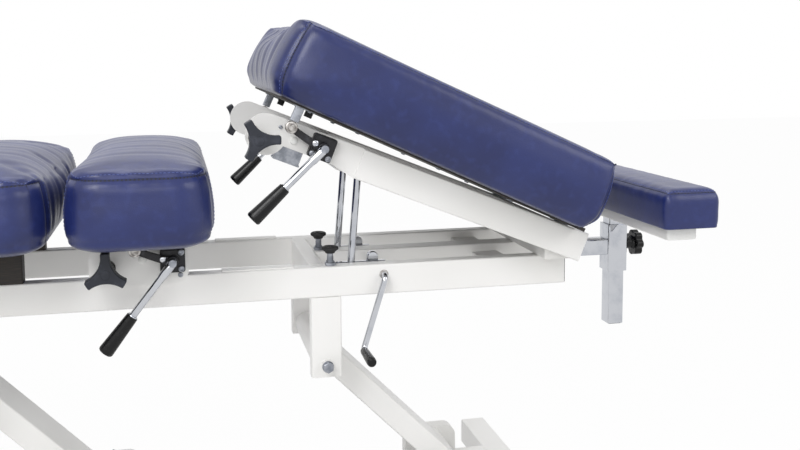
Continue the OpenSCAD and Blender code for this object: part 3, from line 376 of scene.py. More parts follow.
def rounded(width, height, radius, steps=5):
    """Outline of a rectangle with round corners."""
    points = []
    for k, (sx, sy) in enumerate(((1, 1), (-1, 1), (-1, -1), (1, -1))):
        for step in range(steps + 1):
            a = math.pi / 2 * (k + step / steps)
            points.append((sx * (width / 2 - radius) + radius * math.cos(a),
                           sy * (height / 2 - radius) + radius * math.sin(a)))
    return points


def strap(middle, halves, steps=8):
    """Outline of a bar along its middle line, as wide as its halves say, with round ends."""
    middle = [Vector(p) for p in middle]
    left, right, ends = [], [], []
    for k, p in enumerate(middle):
        run = (middle[min(k + 1, len(middle) - 1)] - middle[max(k - 1, 0)]).normalized()
        across = Vector((-run.y, run.x)) * halves[k]
        left.append(p + across)
        right.append(p - across)
    for p, half, run in ((middle[-1], halves[-1], middle[-1] - middle[-2]),
                         (middle[0], halves[0], middle[0] - middle[1])):
        turn = math.atan2(run.y, run.x)
        ends.append([p + half * Vector((math.cos(a), math.sin(a)))
                     for a in (turn - math.pi / 2 + math.pi * s / steps for s in range(1, steps))])
    return [tuple(p) for p in right + ends[0] + left[::-1] + ends[1]]


def corner(at, before, after, radius, steps=9):
    """Points of a round bend at a corner of a rod."""
    centre = at - before * radius + after * radius
    return [centre - after * radius * math.cos(a) + before * radius * math.sin(a)
            for a in (math.pi / 2 * s / steps for s in range(steps + 1))]


def lifted(height, profile):
    """A profile of (radius, height) whose heights count from the one given."""
    return [(p[0], height + p[1], *p[2:]) for p in profile]


def settle(piece, body, slot, replaced=()):
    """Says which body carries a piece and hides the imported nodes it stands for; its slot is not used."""
    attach(piece, body)
    if replaced:
        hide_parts(*replaced)
    return piece


class Piece:
    """A rigid piece in one finish: its shapes are given in millimetres, each in its own place."""

    def __init__(self, name, body, finish, *replaced):
        self.name, self.body, self.finish, self.replaced = name, body, finish, replaced
        self.shape = bmesh.new()

    def loft(self, place, loops):
        rows = [[self.shape.verts.new(place @ Vector(p)) for p in loop] for loop in loops]
        for low, high in zip(rows, rows[1:]):
            for k in range(len(low)):
                n = (k + 1) % len(low)
                self.shape.faces.new((low[k], low[n], high[n], high[k]))
        self.shape.faces.new(rows[0][::-1])
        self.shape.faces.new(rows[-1])
        return self

    def slab(self, place, outline, low, high):
        return self.loft(place, [[(x, y, z) for x, y in outline] for z in (low, high)])

    def block(self, place, size, low, high, radius=1.5):
        return self.slab(place, rounded(size[0], size[1], radius, 3), low, high)

    def turned(self, place, profile, count=40):
        """Revolves a profile of (radius, height) or (flat distance, height, flats) about Z."""
        return self.loft(place, [[(x, y, p[1]) for x, y in circle(p[0], count, *p[2:])] for p in profile])

    def rod(self, points, radii, count=20):
        """A bent round rod through the points, with a radius at each point."""
        loops, side = [], None
        for k, p in enumerate(points):
            run = (points[min(k + 1, len(points) - 1)] - points[max(k - 1, 0)]).normalized()
            side = run.orthogonal() if side is None else side - run * side.dot(run)
            side.normalize()
            other = run.cross(side)
            loops.append([p + radii[k] * (math.cos(a) * side + math.sin(a) * other)
                          for a in (2 * math.pi * s / count for s in range(count))])
        return self.loft(Matrix(), loops)

    def copy(self, node):
        """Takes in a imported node's solid, with its doubles merged and its flat faces joined."""
        solid = bmesh.new()
        solid.from_mesh(nodes[node].data)
        bmesh.ops.remove_doubles(solid, verts=solid.verts, dist=2e-6)
        bmesh.ops.dissolve_limit(solid, angle_limit=math.radians(1), verts=solid.verts, edges=solid.edges)
        bmesh.ops.scale(solid, vec=(1 / MM,) * 3, verts=solid.verts)
        mesh = bpy.data.meshes.new(node + "_copy")
        solid.to_mesh(mesh)
        solid.free()
        self.shape.from_mesh(mesh)
        bpy.data.meshes.remove(mesh)
        return self

    def smooth_mesh(self, scale):
        """The finished shape as a mesh with smooth faces."""
        bmesh.ops.recalc_face_normals(self.shape, faces=self.shape.faces)
        bmesh.ops.scale(self.shape, vec=(scale,) * 3, verts=self.shape.verts)
        mesh = bpy.data.meshes.new(self.name)
        self.shape.to_mesh(mesh)
        self.shape.free()
        mesh.polygons.foreach_set("use_smooth", [True] * len(mesh.polygons))
        return mesh

    def make(self, bevel=0, steps=2):
        mesh = self.smooth_mesh(MM)
        mesh.materials.append(self.finish.material)
        piece = placed(self.name, mesh)
        if bevel:
            edge = piece.modifiers.new("worn_edge", "BEVEL")
            edge.width = bevel * MM
            edge.segments = steps
            edge.limit_method = "ANGLE"
            edge.angle_limit = SHARP_EDGE
            edge.harden_normals = True
        else:
            mesh.set_sharp_from_angle(angle=SHARP_EDGE)
        return settle(piece, self.body, self.finish.slot, self.replaced)


# Places of the drop units in the table's frame, as (x, z, y of the face)
LUMBAR_HUB, LUMBAR_KNOB = (9.5, 542.468, 141), (-88.9, 533.881, 141)
PELVIC_HUB, PELVIC_KNOB = (238.592, 714.978, 188), (139.192, 732.166, 188)
CARRIAGE_PIN, CARRIAGE_SLOPE = (621.5, 554.881), 22
KNOB_TURN = -30

# Drop unit sizes
CAM_LENGTH, CAM_LOW, CAM_HIGH, CAM_SAG, CAM_STEPS = 60, 15, 21, 1.8, 12
ROLLER_LOW, ROLLER_HIGH = 21.4, 30.4
LEVER_OUT, LEVER_BEND, BOSS_RADIUS, ROD_RADIUS = 29, 7.5, 7, 5.9
ROLLER_RIM = [(7.9, 0), (9.2, 0.6), (9.5, 1.6)]
ROLLER_FACE = [(9.5, -1.6), (9, -0.6), (7.8, 0), (6.3, 0), (5.9, -0.7), (5.3, -0.7), (5, 0.3), (4.4, 0.8),
               (2.3, 0.8, 6), (2.2, -1.2, 6)]
GRIP_START = [(6.2, 0), (8.3, 0), (9.2, 1), (9.55, 8)]
GRIP_END = [(11.75, -7), (11.9, -3.4), (11.4, -1.6), (10, -0.3), (4, 0), (3.6, -0.8), (1.5, -0.8)]


def drop_unit(word, body, hub, tilt, cam_angle, lever_angle, reach, grip_length):
    """Cam arm, roller, chrome lever and grip of both sides of a section."""
    levers = (f"{word}_lever_near", f"{word}_lever_far")
    cams = Piece(f"{word}_cam_arms", body, CASTING, *levers)
    steel = Piece(f"{word}_cam_rollers", body, STEEL, *levers)
    rods = Piece(f"{word}_lever_rods", body, CHROME, *levers)
    grips = Piece(f"{word}_lever_grips", body, GLOSS, *levers)
    along, across, way = ray(cam_angle), ray(cam_angle + 90), ray(lever_angle)
    middle, halves = [], []
    for step in range(CAM_STEPS + 1):
        t = step / CAM_STEPS
        middle.append((along * CAM_LENGTH * t + across * (CAM_SAG * 4 * t * (1 - t))).to_2d())
        halves.append(5.3 + 1.6 * (1 - t) ** 2 + 0.5 * t**6)
    rise = OUTWARD * LEVER_OUT
    bend = corner(rise, OUTWARD, way, LEVER_BEND)
    shank = [OUTWARD * 20, *bend, *(way * run + rise for run in (24, 30, reach + 30))]
    radii = [BOSS_RADIUS] * (len(bend) + 2) + [ROD_RADIUS] * 2
    for place in both(*hub, tilt):
        cams.slab(place, strap(middle, halves), CAM_LOW, CAM_HIGH)
        cams.turned(place, [(9, CAM_LOW - 0.6), (9.4, CAM_LOW + 1), (9.4, CAM_HIGH), (8, CAM_HIGH + 2.5)])
        rods.turned(place @ Matrix.Translation(ray(cam_angle, 15.5)),
                    lifted(CAM_HIGH, [(5.4, -0.5), (5.4, 1.5), (4.6, 3.2), (2.6, 4.2)]), 24)
        steel.turned(place @ Matrix.Translation(ray(cam_angle, CAM_LENGTH)),
                     lifted(ROLLER_LOW, ROLLER_RIM) + lifted(ROLLER_HIGH, ROLLER_FACE), 48)
        rods.turned(place, lifted(CAM_HIGH, [(8.4, -0.5), (8.4, 1.2), (7.4, 1.9)]), 36)
        rods.rod([place @ p for p in shank], radii, 28)
        lever = place @ Matrix.Translation(rise) @ toward(way)
        rods.turned(lever, lifted(reach, [(6, -1.8), (7.6, -1.4), (7.9, 0.4), (6, 0.6)]))
        grips.turned(lever, lifted(reach, GRIP_START) + lifted(reach + grip_length, GRIP_END), 48)
    cams.make(0.9)
    steel.make()
    rods.make(0.3)
    grips.make()


drop_unit("lumbar", "lumbar_cocker", LUMBAR_HUB, 0, 159.5, 231.8, 100, 69)
drop_unit("pelvic", "pelvic_cocker", PELVIC_HUB, CARRIAGE_SLOPE, 167.3, 245, 83, 68)

# Tension knobs
KNOB_REACH, LOBE_WIDTH, KNOB_WEB, KNOB_LOW, KNOB_HIGH = 32, 13.4, 13.6, 31, 50.6
HOLLOW_STEPS = 14


def lobed_outline():
    """Three square ended lobes with hollows between them."""
    far = (KNOB_REACH**2 + LOBE_WIDTH**2 / 4 - KNOB_WEB**2) / (
        KNOB_REACH + LOBE_WIDTH * math.sin(math.radians(60)) - 2 * KNOB_WEB)
    hollow = far - KNOB_WEB
    points = []
    for lobe in (90, 210, 330):
        tip = ray(lobe, KNOB_REACH)
        edge = ray(lobe + 90, LOBE_WIDTH / 2)
        for share in (-1, -0.5, 0, 0.5, 1):
            points.append(tuple((tip + edge * share + ray(lobe, 0.5 * (1 - share * share))).to_2d()))
        centre = ray(lobe + 60, far)
        start = (tip + edge) - centre
        end = (ray(lobe + 120, KNOB_REACH) - ray(lobe + 210, LOBE_WIDTH / 2)) - centre
        a, b = (math.atan2(v.y, v.x) for v in (start, end))
        turn = (b - a + math.pi) % (2 * math.pi) - math.pi
        for step in range(1, HOLLOW_STEPS):
            angle = a + turn * step / HOLLOW_STEPS
            points.append((centre.x + hollow * math.cos(angle), centre.y + hollow * math.sin(angle)))
    return points


def tension_knob(word, end, hub, side, tilt):
    """A lobed knob with the disc in its middle and the neck behind it."""
    name, body, place = f"{word}_knob_{end}", f"{word}_tension_{end}", facing(*hub, side, tilt)
    Piece(name + "_lobes", body, SLATE, name).slab(place, lobed_outline(), KNOB_LOW, KNOB_HIGH).make(1.9, 3)
    disc = lifted(KNOB_HIGH, [(7.8, -1), (7.6, 0.5), (7, 0.6), (6.7, 0.2), (3, 0.2)])
    Piece(name + "_boss", body, SLATE, name).turned(place, disc).make()
    Piece(name + "_neck", body, GLOSS, name).turned(place, [
        (12, 0.3), (12.6, 1.2), (12.6, 7.5), (11.8, 8.6), (11.8, 24), (13.4, 28.5), (13.4, KNOB_LOW + 1)]).make()


for end, side in SIDES:
    tension_knob("lumbar", end, LUMBAR_KNOB, side, 0)
    tension_knob("pelvic", end, PELVIC_KNOB, side, KNOB_TURN)

# Bearing blocks, and the tension block that hangs inside the near tongue plate
for word, body, hub, tilt in (("lumbar", "upper_frame", LUMBAR_HUB, 0),
                              ("pelvic", "pelvic_carriage", PELVIC_HUB, CARRIAGE_SLOPE)):
    blocks = Piece(word + "_bearing_blocks", body, CASTING, word + "_blocks")
    for place in both(*hub, tilt):
        blocks.slab(place, rounded(38, 38, 4), 0.05, 11.5).slab(place, rounded(34, 34, 4), 11, 14)
    blocks.make(0.8)

tension = Piece("pelvic_tension_block", "pelvic_carriage", ZINC, "pelvic_blocks")
for rise, outline, low, high in ((-16, rounded(40, 41, 1.2, 2), 153.5, 182.6),
                                 (3.2, rounded(43, 3, 0.6, 2), 152.5, 182.8),
                                 (-35.6, rounded(43, 3, 0.6, 2), 152.5, 182.8)):
    tension.slab(facing(*CARRIAGE_PIN, 0, -1, CARRIAGE_SLOPE) @ spot(-457.5, rise, 0), outline, low, high)
tension.make(0.5)

# White cover buttons over the adjuster holes
for name, body, hub, tilt in (("lumbar_cover_buttons", "upper_frame", (-36.3, 543.4, 141), 0),
                              ("pelvic_cover_buttons", "pelvic_carriage", (196, 726.4, 188), CARRIAGE_SLOPE)):
    buttons = Piece(name, body, BUTTON)
    for place in both(*hub, tilt):
        buttons.turned(place, [(6.3, -0.4), (6.3, 1), (5.8, 1.9), (4.4, 2.6), (2.2, 3), (0.6, 3.1)])
    buttons.make()

# Bumpers: a flared rubber cap on a zinc stud with its thread, nut and washer
BUMPER_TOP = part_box("bumpers")[1][2] / MM
RAIL_TOP = 514.881
CAP_PROFILE = [(5, -11.5), (7.5, -11.2), (9, -8.5), (13.2, -5.6), (14, -3.8), (13.4, -1.6), (11.5, -0.4),
               (8, 0), (5, -0.5), (4, -2.6), (1.5, -2.8)]
caps = Piece("bumper_caps", "upper_frame", RUBBER, "bumpers")
studs = Piece("bumper_studs", "upper_frame", ZINC, "bumpers")
for y in (-123.5, 0):
    place = spot(260.5, y, 0)
    caps.turned(place, lifted(BUMPER_TOP, CAP_PROFILE))
    studs.turned(place, [(5, RAIL_TOP - 1), (5, BUMPER_TOP - 11)], 24)
    for turn in range(5):
        low = RAIL_TOP + 8.2 + 1.5 * turn
        studs.turned(place, lifted(low, [(5, 0), (5.5, 0.5), (5.5, 0.7), (5, 1.2)]), 24)
    studs.turned(place, lifted(RAIL_TOP, [(7.6, 0.1, 6), (8.2, 0.9, 6), (8.2, 4.8, 6), (7.2, 5.6)]), 36)
    studs.turned(place, lifted(RAIL_TOP, [(6.8, 6), (6.8, 7.4)]), 24)
caps.make()
studs.make()

# Clamp crank: a bent chrome rod through the rails with a black grip
CRANK_PIN, CRANK_TIP, CRANK_OUT, CRANK_BEND = (347.5, 497.881), (309.61, 377.71), -150, 9
start, inner, knee = (Vector((CRANK_PIN[0], y, CRANK_PIN[1])) for y in (36, -100, CRANK_OUT))
foot = Vector((CRANK_TIP[0], CRANK_OUT, CRANK_TIP[1]))
down, out = (foot - knee).normalized(), Vector((0, -1, 0))
bends = [*corner(knee, out, down, CRANK_BEND), *corner(foot, down, out, CRANK_BEND)]
crank = [start, inner, *bends, foot + out * 20]
Piece("clamp_crank_rod", "prop_clamp_crank", CHROME, "clamp_crank").rod(crank, [5] * len(crank), 24).make()
Piece("clamp_crank_collar", "upper_frame", STEEL).turned(
    facing(*CRANK_PIN, 136, -1), [(7.6, -0.3), (7.4, 0.7), (6.4, 1), (5.3, 1)]).make()
Piece("clamp_crank_grip", "prop_clamp_crank", GLOSS, "clamp_crank").turned(
    Matrix.Translation(foot + out * 5) @ toward(out),
    [(5, 0), (6, 0.4), (6.6, 1.4), (7, 14), (7.9, 52), (7.7, 58), (6.6, 61), (4, 62),
     (1, 62.2)]).make()

# Foot rest: chrome post with a plug, white beam with caps
POST_X, POST_SIZE, POST_LOW, POST_TOP = 822.5, 30, 347.881, 553.881
BEAM_X, BEAM_Z, BEAM_HALF = 814.5, 564.381, 248.6
at_post = spot(POST_X, 0, 0)
Piece("foot_post_tube", "foot_rest", CHROME, "foot_post").slab(
    at_post, rounded(POST_SIZE, POST_SIZE, 2.6), POST_LOW, POST_TOP + 1).make()
Piece("foot_post_plug", "foot_rest", RUBBER, "foot_post").slab(
    at_post, rounded(25, 25, 2), POST_LOW - 1.6, POST_LOW + 4).make(0.5)
Piece("foot_beam", "foot_rest", WHITE, "foot_post").slab(
    facing(BEAM_X, BEAM_Z, 0, 1), rounded(52, 21, 3), -BEAM_HALF, BEAM_HALF).make()
beam_caps = Piece("foot_beam_caps", "foot_rest", BUTTON, "foot_post")
for place in both(BEAM_X, BEAM_Z, BEAM_HALF):
    beam_caps.slab(place, rounded(51, 20, 3), -0.5, 1.4)
beam_caps.make(0.5)

# Star knob that locks the foot post
STAR_LOBES, STAR_TIP, STAR_ROOT, STAR_POINTS = 7, 24, 20.2, 112
star_outline = []
for k in range(STAR_POINTS):
    a = 2 * math.pi * k / STAR_POINTS
    r = STAR_TIP - (STAR_TIP - STAR_ROOT) * (0.5 - 0.5 * math.cos(STAR_LOBES * a)) ** 1.6
    star_outline.append((r * math.cos(a + math.pi / 2), r * math.sin(a + math.pi / 2)))
at_slide = along_table(497.881)
Piece("foot_star_knob", "foot_lock", GLOSS, "foot_knob").slab(at_slide, star_outline, 859.5, 873.5).make(2.2, 4)
Piece("foot_star_neck", "foot_lock", GLOSS, "foot_knob").turned(
    at_slide, [(9.4, 841.8), (10, 842.4), (11, 850), (11.4, 856), (13.6, 858.8), (14, 861)]).turned(
    at_slide, [(9, 872), (9, 874.6), (8.4, 875.4), (6.8, 875.8), (6.4, 875.2), (6.2, 873.6),
               (2, 873.4)]).make()
Piece("foot_star_stud", "foot_lock", ZINC, "foot_knob").turned(
    at_slide, [(4.6, 838.2), (5, 838.8), (5, 845)], 24).make()
Piece("foot_slide_bar", "foot_slide", CHROME, "foot_bar").copy("foot_bar").make(1.2)

# Pelvic board with its posts, stops and drop lugs
DROP_PIN, DROP_SLOPE = (651.3035, 565.381), 24.8
on_drop = sloping(*DROP_PIN, DROP_SLOPE)
Piece("pelvic_ply_board", "pelvic_pad", BOARD, "pelvic_board").slab(
    on_drop @ spot(-262.05, 0, 0), rounded(535.1, 454, 8), 6.5, 12.5).make(0.6)
posts = Piece("pelvic_board_posts", "pelvic_pad", ZINC, "pelvic_board")
stops = Piece("pelvic_board_stops", "pelvic_pad", RUBBER, "pelvic_board")
for _, side in SIDES:
    posts.block(on_drop @ spot(-496.5, side * 213.9, 0), (14, 9), -17.1, 6, 1.4)
    posts.block(on_drop @ spot(-489.5, side * 211.5, 0), (34, 22), 4.9, 6.5, 3)
    posts.slab(facing(*DROP_PIN, 133, side, DROP_SLOPE), strap([(0, 0), (0, 5)], [5.5, 5.5]), 0, 6.5)
    posts.block(on_drop @ spot(-5, side * 143, 0), (26, 26), 5.3, 6.5, 3)
    stops.block(on_drop @ spot(-476, side * 185.5, 0), (12, 11), -3.95, 6.5, 2)
posts.make(0.5)
stops.make(0.8)

# Levelling feet under the floor frame, and plugs in the open tube ends
BASE_ENDS, BASE_FOOT_Y = (-258.6, 635.4), 245
FOOT_PROFILE = [(24.4, 0), (24.9, 1), (24.9, 4.5), (23.5, 6.2), (17, 8), (10, 8.9), (4, 9)]
feet = Piece("floor_foot_pads", "base", RUBBER, "floor_feet")
foot_studs = Piece("floor_foot_studs", "base", ZINC, "floor_feet")
for x in BASE_ENDS:
    for y in (-BASE_FOOT_Y, BASE_FOOT_Y):
        place = spot(x, y, 0)
        feet.turned(place, FOOT_PROFILE, 48)
        foot_studs.turned(place, [(5, 8), (5, 15.5)], 24)
        foot_studs.turned(place, [(8, 9.2, 6), (8.5, 9.8, 6), (8.5, 13.4, 6), (8, 14, 6)], 36)
feet.make()
foot_studs.make()

plugs = Piece("tube_end_plugs", "base", RUBBER)
for x in BASE_ENDS:
    for place in both(x, 40, 270):
        plugs.slab(place, rounded(48.5, 48.5, 4), -1, 1.6)
plugs.make(0.8)
frame_plugs = Piece("rail_end_plugs", "upper_frame", RUBBER)
for _, side in SIDES:
    for x, turn in ((-573.5, -1), (663.5, 1)):
        at_end = Matrix(((0, 0, turn, x), (1, 0, 0, side * 123.5), (0, turn, 0, 489.88), (0, 0, 0, 1)))
        frame_plugs.slab(at_end, rounded(23.5, 48.5, 2.5), -1, 1.5)
frame_plugs.make(0.6)

# Pivot bolts at both ends of the four arms
HEX_HEAD = [(9.6, 0), (9.6, 1.2), (7.2, 1.3, 6), (8, 2, 6), (8, 6.6, 6), (7, 7.6, 6), (3, 7.7)]
for name, body, xs, z, face in (("frame_pivot_bolts", "upper_frame", (251.5, -348.5), 351.881, 144.1),
                                ("base_pivot_bolts", "base", (488.4, -111.6), 115, 135.6)):
    bolts = Piece(name, body, ZINC)
    for x in xs:
        for place in both(x, z, face):
            bolts.turned(place, HEX_HEAD, 48)
    bolts.make()

# Actuator bands, and the ribbed lid over its motor
bands = Piece("actuator_bands", "base", GLOSS)
for x in (44, 230, 302):
    bands.turned(along_table(45), [(16.9, x - 5), (17.8, x - 4.4), (17.8, x + 4.4), (16.9, x + 5)], 48)
bands.make()
MOTOR_X, MOTOR_Y, RIB_PITCH = 263.4, 17, 12
lid = Piece("actuator_motor_lid", "base", SLATE).block(spot(MOTOR_X, MOTOR_Y, 0), (84, 54), 92.6, 95, 10)
for rib in range(-2, 3):
    lid.block(spot(MOTOR_X + RIB_PITCH * rib, MOTOR_Y, 0), (5, 44), 94.6, 96.2, 2)
lid.make(0.6)

# ---------------------------------------------------------------- screw heads


def screw_source():
    """A pan head with a hexagon socket, one metre in radius."""
    head = Piece("screw_head", "base", STEEL).turned(
        Matrix(), [(1, 0), (1, 0.28), (0.86, 0.5), (0.55, 0.62), (0.5, 0.6, 6), (0.46, 0.2, 6)], 12)
    mesh = head.smooth_mesh(1)
    mesh.set_sharp_from_angle(angle=math.radians(35))
    return placed("screw_head", mesh)


def screw_tree():
    tree = Growth("screw_heads", {"Head": "Object", "Material": "Material"})
    turned = tree.node("GeometryNodeInputNamedAttribute", {"data_type": "FLOAT_VECTOR"}, {"Name": "facing"})
    size = tree.node("GeometryNodeInputNamedAttribute", {"data_type": "FLOAT"}, {"Name": "size"})
    aligned = tree.node("FunctionNodeAlignRotationToVector", {"axis": "Z"}, {"Vector": turned})
    head = tree.node("GeometryNodeObjectInfo", {"transform_space": "ORIGINAL"}, {"Object": tree.given("Head")},
                     "Geometry")
    points = tree.node("GeometryNodeMeshToPoints", {}, {"Mesh": tree.given("Geometry")})
    tree.close(tree.node("GeometryNodeInstanceOnPoints", {},
                         {"Points": points, "Instance": head, "Rotation": aligned, "Scale": size}))
    return tree


SCREW_TREE = screw_tree()
SCREW_HEAD = screw_source()


def screws(name, body, spots):
    """Screw heads at (point, outward direction, head radius) in millimetres."""
    mesh = bpy.data.meshes.new(name)
    mesh.from_pydata([tuple(Vector(p) * MM) for p, _, _ in spots], [], [])
    facing_way = mesh.attributes.new("facing", "FLOAT_VECTOR", "POINT")
    facing_way.data.foreach_set("vector", [c for _, way, _ in spots for c in way])
    size = mesh.attributes.new("size", "FLOAT", "POINT")
    size.data.foreach_set("value", [radius * MM for _, _, radius in spots])
    settle(SCREW_TREE.run(name, mesh, {"Head": SCREW_HEAD, "Material": ZINC.material}), body, ZINC.slot)


def on_face(place, points, radius, way=OUTWARD):
    """Screw spots on a place, from (x, y, height out of it), all looking one way."""
    turned = (place.to_3x3() @ way).normalized()
    return [(place @ Vector(p), turned, radius) for p in points]


frame_screws, carriage_screws, board_screws = [], [], []
for _, side in SIDES:
    frame_screws += on_face(facing(*LUMBAR_HUB, side), [(13, 13, 14), (13, -13, 14)], 5)
    carriage_screws += on_face(facing(*PELVIC_HUB, side, CARRIAGE_SLOPE), [(13, -13, 14), (-13, -13, 14)], 5)
    carriage_screws += on_face(facing(*CARRIAGE_PIN, 188, side, CARRIAGE_SLOPE),
                               [(-485, -8, 0), (-485, 12, 0)], 3.2)
    frame_screws += on_face(facing(0, 0, 141, side), [(-104, 517, 0), (21, 517, 0)], 4.2)
    for xs, y, height, radius in (((-500.5, -479), 203, 4.9, 2.8), ((-380, -230, -90), 120, 6.5, 4.5),
                                  ((-14, 4), 149, 5.3, 3)):
        board_screws += on_face(on_drop, [(x, side * y, height) for x in xs], radius, -OUTWARD)
screws("frame_screw_heads", "upper_frame", frame_screws)
screws("carriage_screw_heads", "pelvic_carriage", carriage_screws)
screws("pelvic_board_screw_heads", "pelvic_pad", board_screws)
bpy.data.objects.remove(SCREW_HEAD, do_unlink=True)

# ---------------------------------------------------------------- cushions

SEAM_ROWS = (0.0, 2.5, 5.5, 9.0, 13.5, 19.0)  # distances of the mesh rows beside a seam
ROW_STEP = 7.5
PULL_IN_RISE_SHARE = 0.3
SEAM_INSET_SHARE = 0.085
BOXED_INSET_SHARE = 0.045
SEAM_PULL_SHARE = 0.45
DOME_SHARE = 0.25
FLUTE_SHARE = 0.4
LIP = 2.0
HEM_RISE = 14.0
CLOTH_TICKS, CLOTH_REACH = 20, 3.0
TOP, SIDE_PANEL, END_PANEL, UNDERSIDE = range(4)
# Waves of the gathers: (period, height) beside the seams and across the ends
SEAM_WAVES = ((11.0, 0.35), (17.0, 0.5), (29.0, 0.5), (47.0, 0.4))
END_WAVES = ((13.0, 0.3), (21.0, 0.45), (34.0, 0.55))


def row_places(half, fine=SEAM_ROWS):
    """Places of the rows across a panel from -half to half, close together beside its seams."""
    inner = half - fine[-1]
    count = max(2, round(2 * inner / ROW_STEP))
    middle = np.linspace(-inner, inner, count + 1)
    edge = half - np.array(fine[:-1])
    return np.concatenate([-edge, middle, edge[::-1]])


def on_rounded(x, y, a, b, r):
    """A point of the a by b rectangle moved onto the same rectangle with corners of radius r."""
    dx = max(0.0, (abs(x) - (a - r)) / r)
    dy = max(0.0, (abs(y) - (b - r)) / r)
    if dx > 0 and dy > 0:
        return (
            math.copysign(a - r + r * dx * math.sqrt(1 - dy * dy / 2), x),
            math.copysign(b - r + r * dy * math.sqrt(1 - dx * dx / 2), y),
        )
    return x, y


@dataclass
class Cushion:
    """A stuffed pad: its panels, its sewn seams and the sewn channels along its top.

    Sizes are in millimetres; place turns the pad's own frame into the table's."""

    name: str
    size: tuple  # length, width, height of the side, height of the crown over it
    corner: float  # corner radius in plan
    roll: float  # how far in from the seam the crown is rounded
    place: Matrix
    body: str
    replaced: str
    tuck: float  # how far the bottom edge is drawn in
    boxed: bool = False  # one seam all round the top, instead of one along each side
    flutes: float = 0.0  # depth of the sewn channels
    folds: float = 0.0  # how far the channels slant down the ends
    slack: float = 4.0
    skirt: float = 0.0  # how far the side hangs past the board
    turn: float = 0.0  # how far the seams run round the corners along the ends
    foot_corner: float = 0.0  # corner radius at the foot end, where it differs

    def corner_at(self, x):
        """Corner radius in plan: the foot end may be cut squarer than the head end."""
        return self.foot_corner if x > 0 and self.foot_corner else self.corner

    def inset_share(self):
        return BOXED_INSET_SHARE if self.boxed else SEAM_INSET_SHARE

    def covered(self):
        """True for the points of the cover, and not for those of the underside."""
        return self.panel != UNDERSIDE

    def side_inset(self, t):
        """How far the side stands in at share t of its height, as a share of that height."""
        low = max(0.0, 1 - t / PULL_IN_RISE_SHARE)
        high = max(0.0, (t - SEAM_PULL_SHARE) / (1 - SEAM_PULL_SHARE))
        return self.tuck / self.size[2] * (1 - math.sqrt(max(0.0, 1 - low * low))) + self.inset_share() * high**1.8

    def build(self):
        length, width, side, crown = self.size
        inset = self.inset_share() * side
        a, b = length / 2 - inset, width / 2 - inset
        xs, ys = row_places(a), row_places(b)
        rise = np.concatenate([np.array([-1.0, -0.5]) * self.skirt if self.skirt else [],
                               np.array([0.0, 0.04, 0.09, 0.15]) * side,
                               np.linspace(0.22 * side, side - SEAM_ROWS[-1], max(2, round(0.6 * side / ROW_STEP))),
                               side - np.array(SEAM_ROWS[-2::-1])])
        nx, ny, nz = len(xs), len(ys), len(rise)
        border = ([(i, 0) for i in range(nx - 1)] + [(nx - 1, j) for j in range(ny - 1)]
                  + [(i, ny - 1) for i in range(nx - 1, 0, -1)] + [(0, j) for j in range(ny - 1, 0, -1)])
        count = len(border)
        points, own, panel = [], [], []
        for k in range(nz - 1):
            d = self.side_inset((rise[k] + self.skirt) / (side + self.skirt)) * side
            ra, rb = length / 2 - d, width / 2 - d
            for i, j in border:
                x, y = on_rounded(xs[i] * ra / a, ys[j] * rb / b, ra, rb,
                                  max(self.corner_at(xs[i]) - d, self.corner_at(xs[i]) / 3))
                points.append((x, y, rise[k]))
                own.append((xs[i], ys[j], rise[k]))
                panel.append(SIDE_PANEL if j in (0, ny - 1) else END_PANEL)
        first_top = len(points)
        for i in range(nx):
            for j in range(ny):
                x, y = on_rounded(xs[i], ys[j], a, b, self.corner_at(xs[i]) - inset)
                edge_x = self._roll_up((a - abs(xs[i])) / self.roll)
                edge_y = self._roll_up((b - abs(ys[j])) / self.roll)
                dome = 1 - DOME_SHARE + DOME_SHARE * (1 - (xs[i] / a) ** 2) * (1 - (ys[j] / b) ** 2)
                points.append((x, y, side + edge_x * edge_y * crown * dome))
                own.append((xs[i], ys[j], side))
                panel.append(TOP)

        def top(i, j):
            return first_top + i * ny + j

        def ring(k, p):
            i, j = border[p % count]
            return k * count + p % count if k < nz - 1 else top(i, j)

        faces = [(ring(k, p), ring(k, p + 1), ring(k + 1, p + 1), ring(k + 1, p))
                 for k in range(nz - 1) for p in range(count)]
        faces += [(top(i, j), top(i + 1, j), top(i + 1, j + 1), top(i, j + 1))
                  for i in range(nx - 1) for j in range(ny - 1)]
        rims = [0]
        lip = (1 - 2 * LIP / length, 1 - 2 * LIP / width)
        for z in (-self.skirt, 0.0) if self.skirt else (0.0,):
            rims.append(len(points))
            for p in range(count):
                points.append((points[p][0] * lip[0], points[p][1] * lip[1], z))
                own.append((points[p][0], points[p][1], -2 * side))
                panel.append(UNDERSIDE)
        for low, high in zip(rims, rims[1:]):
            faces += [(low + (p + 1) % count, low + p, high + p, high + (p + 1) % count) for p in range(count)]
        underside = {ij: rims[-1] + p for p, ij in enumerate(border)}
        base_a = max(abs(points[rims[-1] + p][0]) for p in range(count))
        base_b = max(abs(points[rims[-1] + p][1]) for p in range(count))
        for i in range(1, nx - 1):
            for j in range(1, ny - 1):
                underside[(i, j)] = len(points)
                x, y = on_rounded(xs[i] * base_a / a, ys[j] * base_b / b, base_a, base_b,
                                  self.corner_at(xs[i]) / 3)
                points.append((x, y, 0.0))
                own.append((x, y, -2 * side))
                panel.append(UNDERSIDE)
        faces += [(underside[(i, j + 1)], underside[(i + 1, j + 1)], underside[(i + 1, j)], underside[(i, j)])
                  for i in range(nx - 1) for j in range(ny - 1)]

        self.points = np.array(points)
        self.own = np.array(own)
        self.panel = np.array(panel)
        self.grid = (xs, ys, rise, border, top, ring, a, b)
        self.seams = self._seam_rows()
        mesh = bpy.data.meshes.new(self.name)
        mesh.from_pydata((self.points * MM).tolist(), [], faces)
        mesh.update()
        self.piece = placed(self.name, mesh)

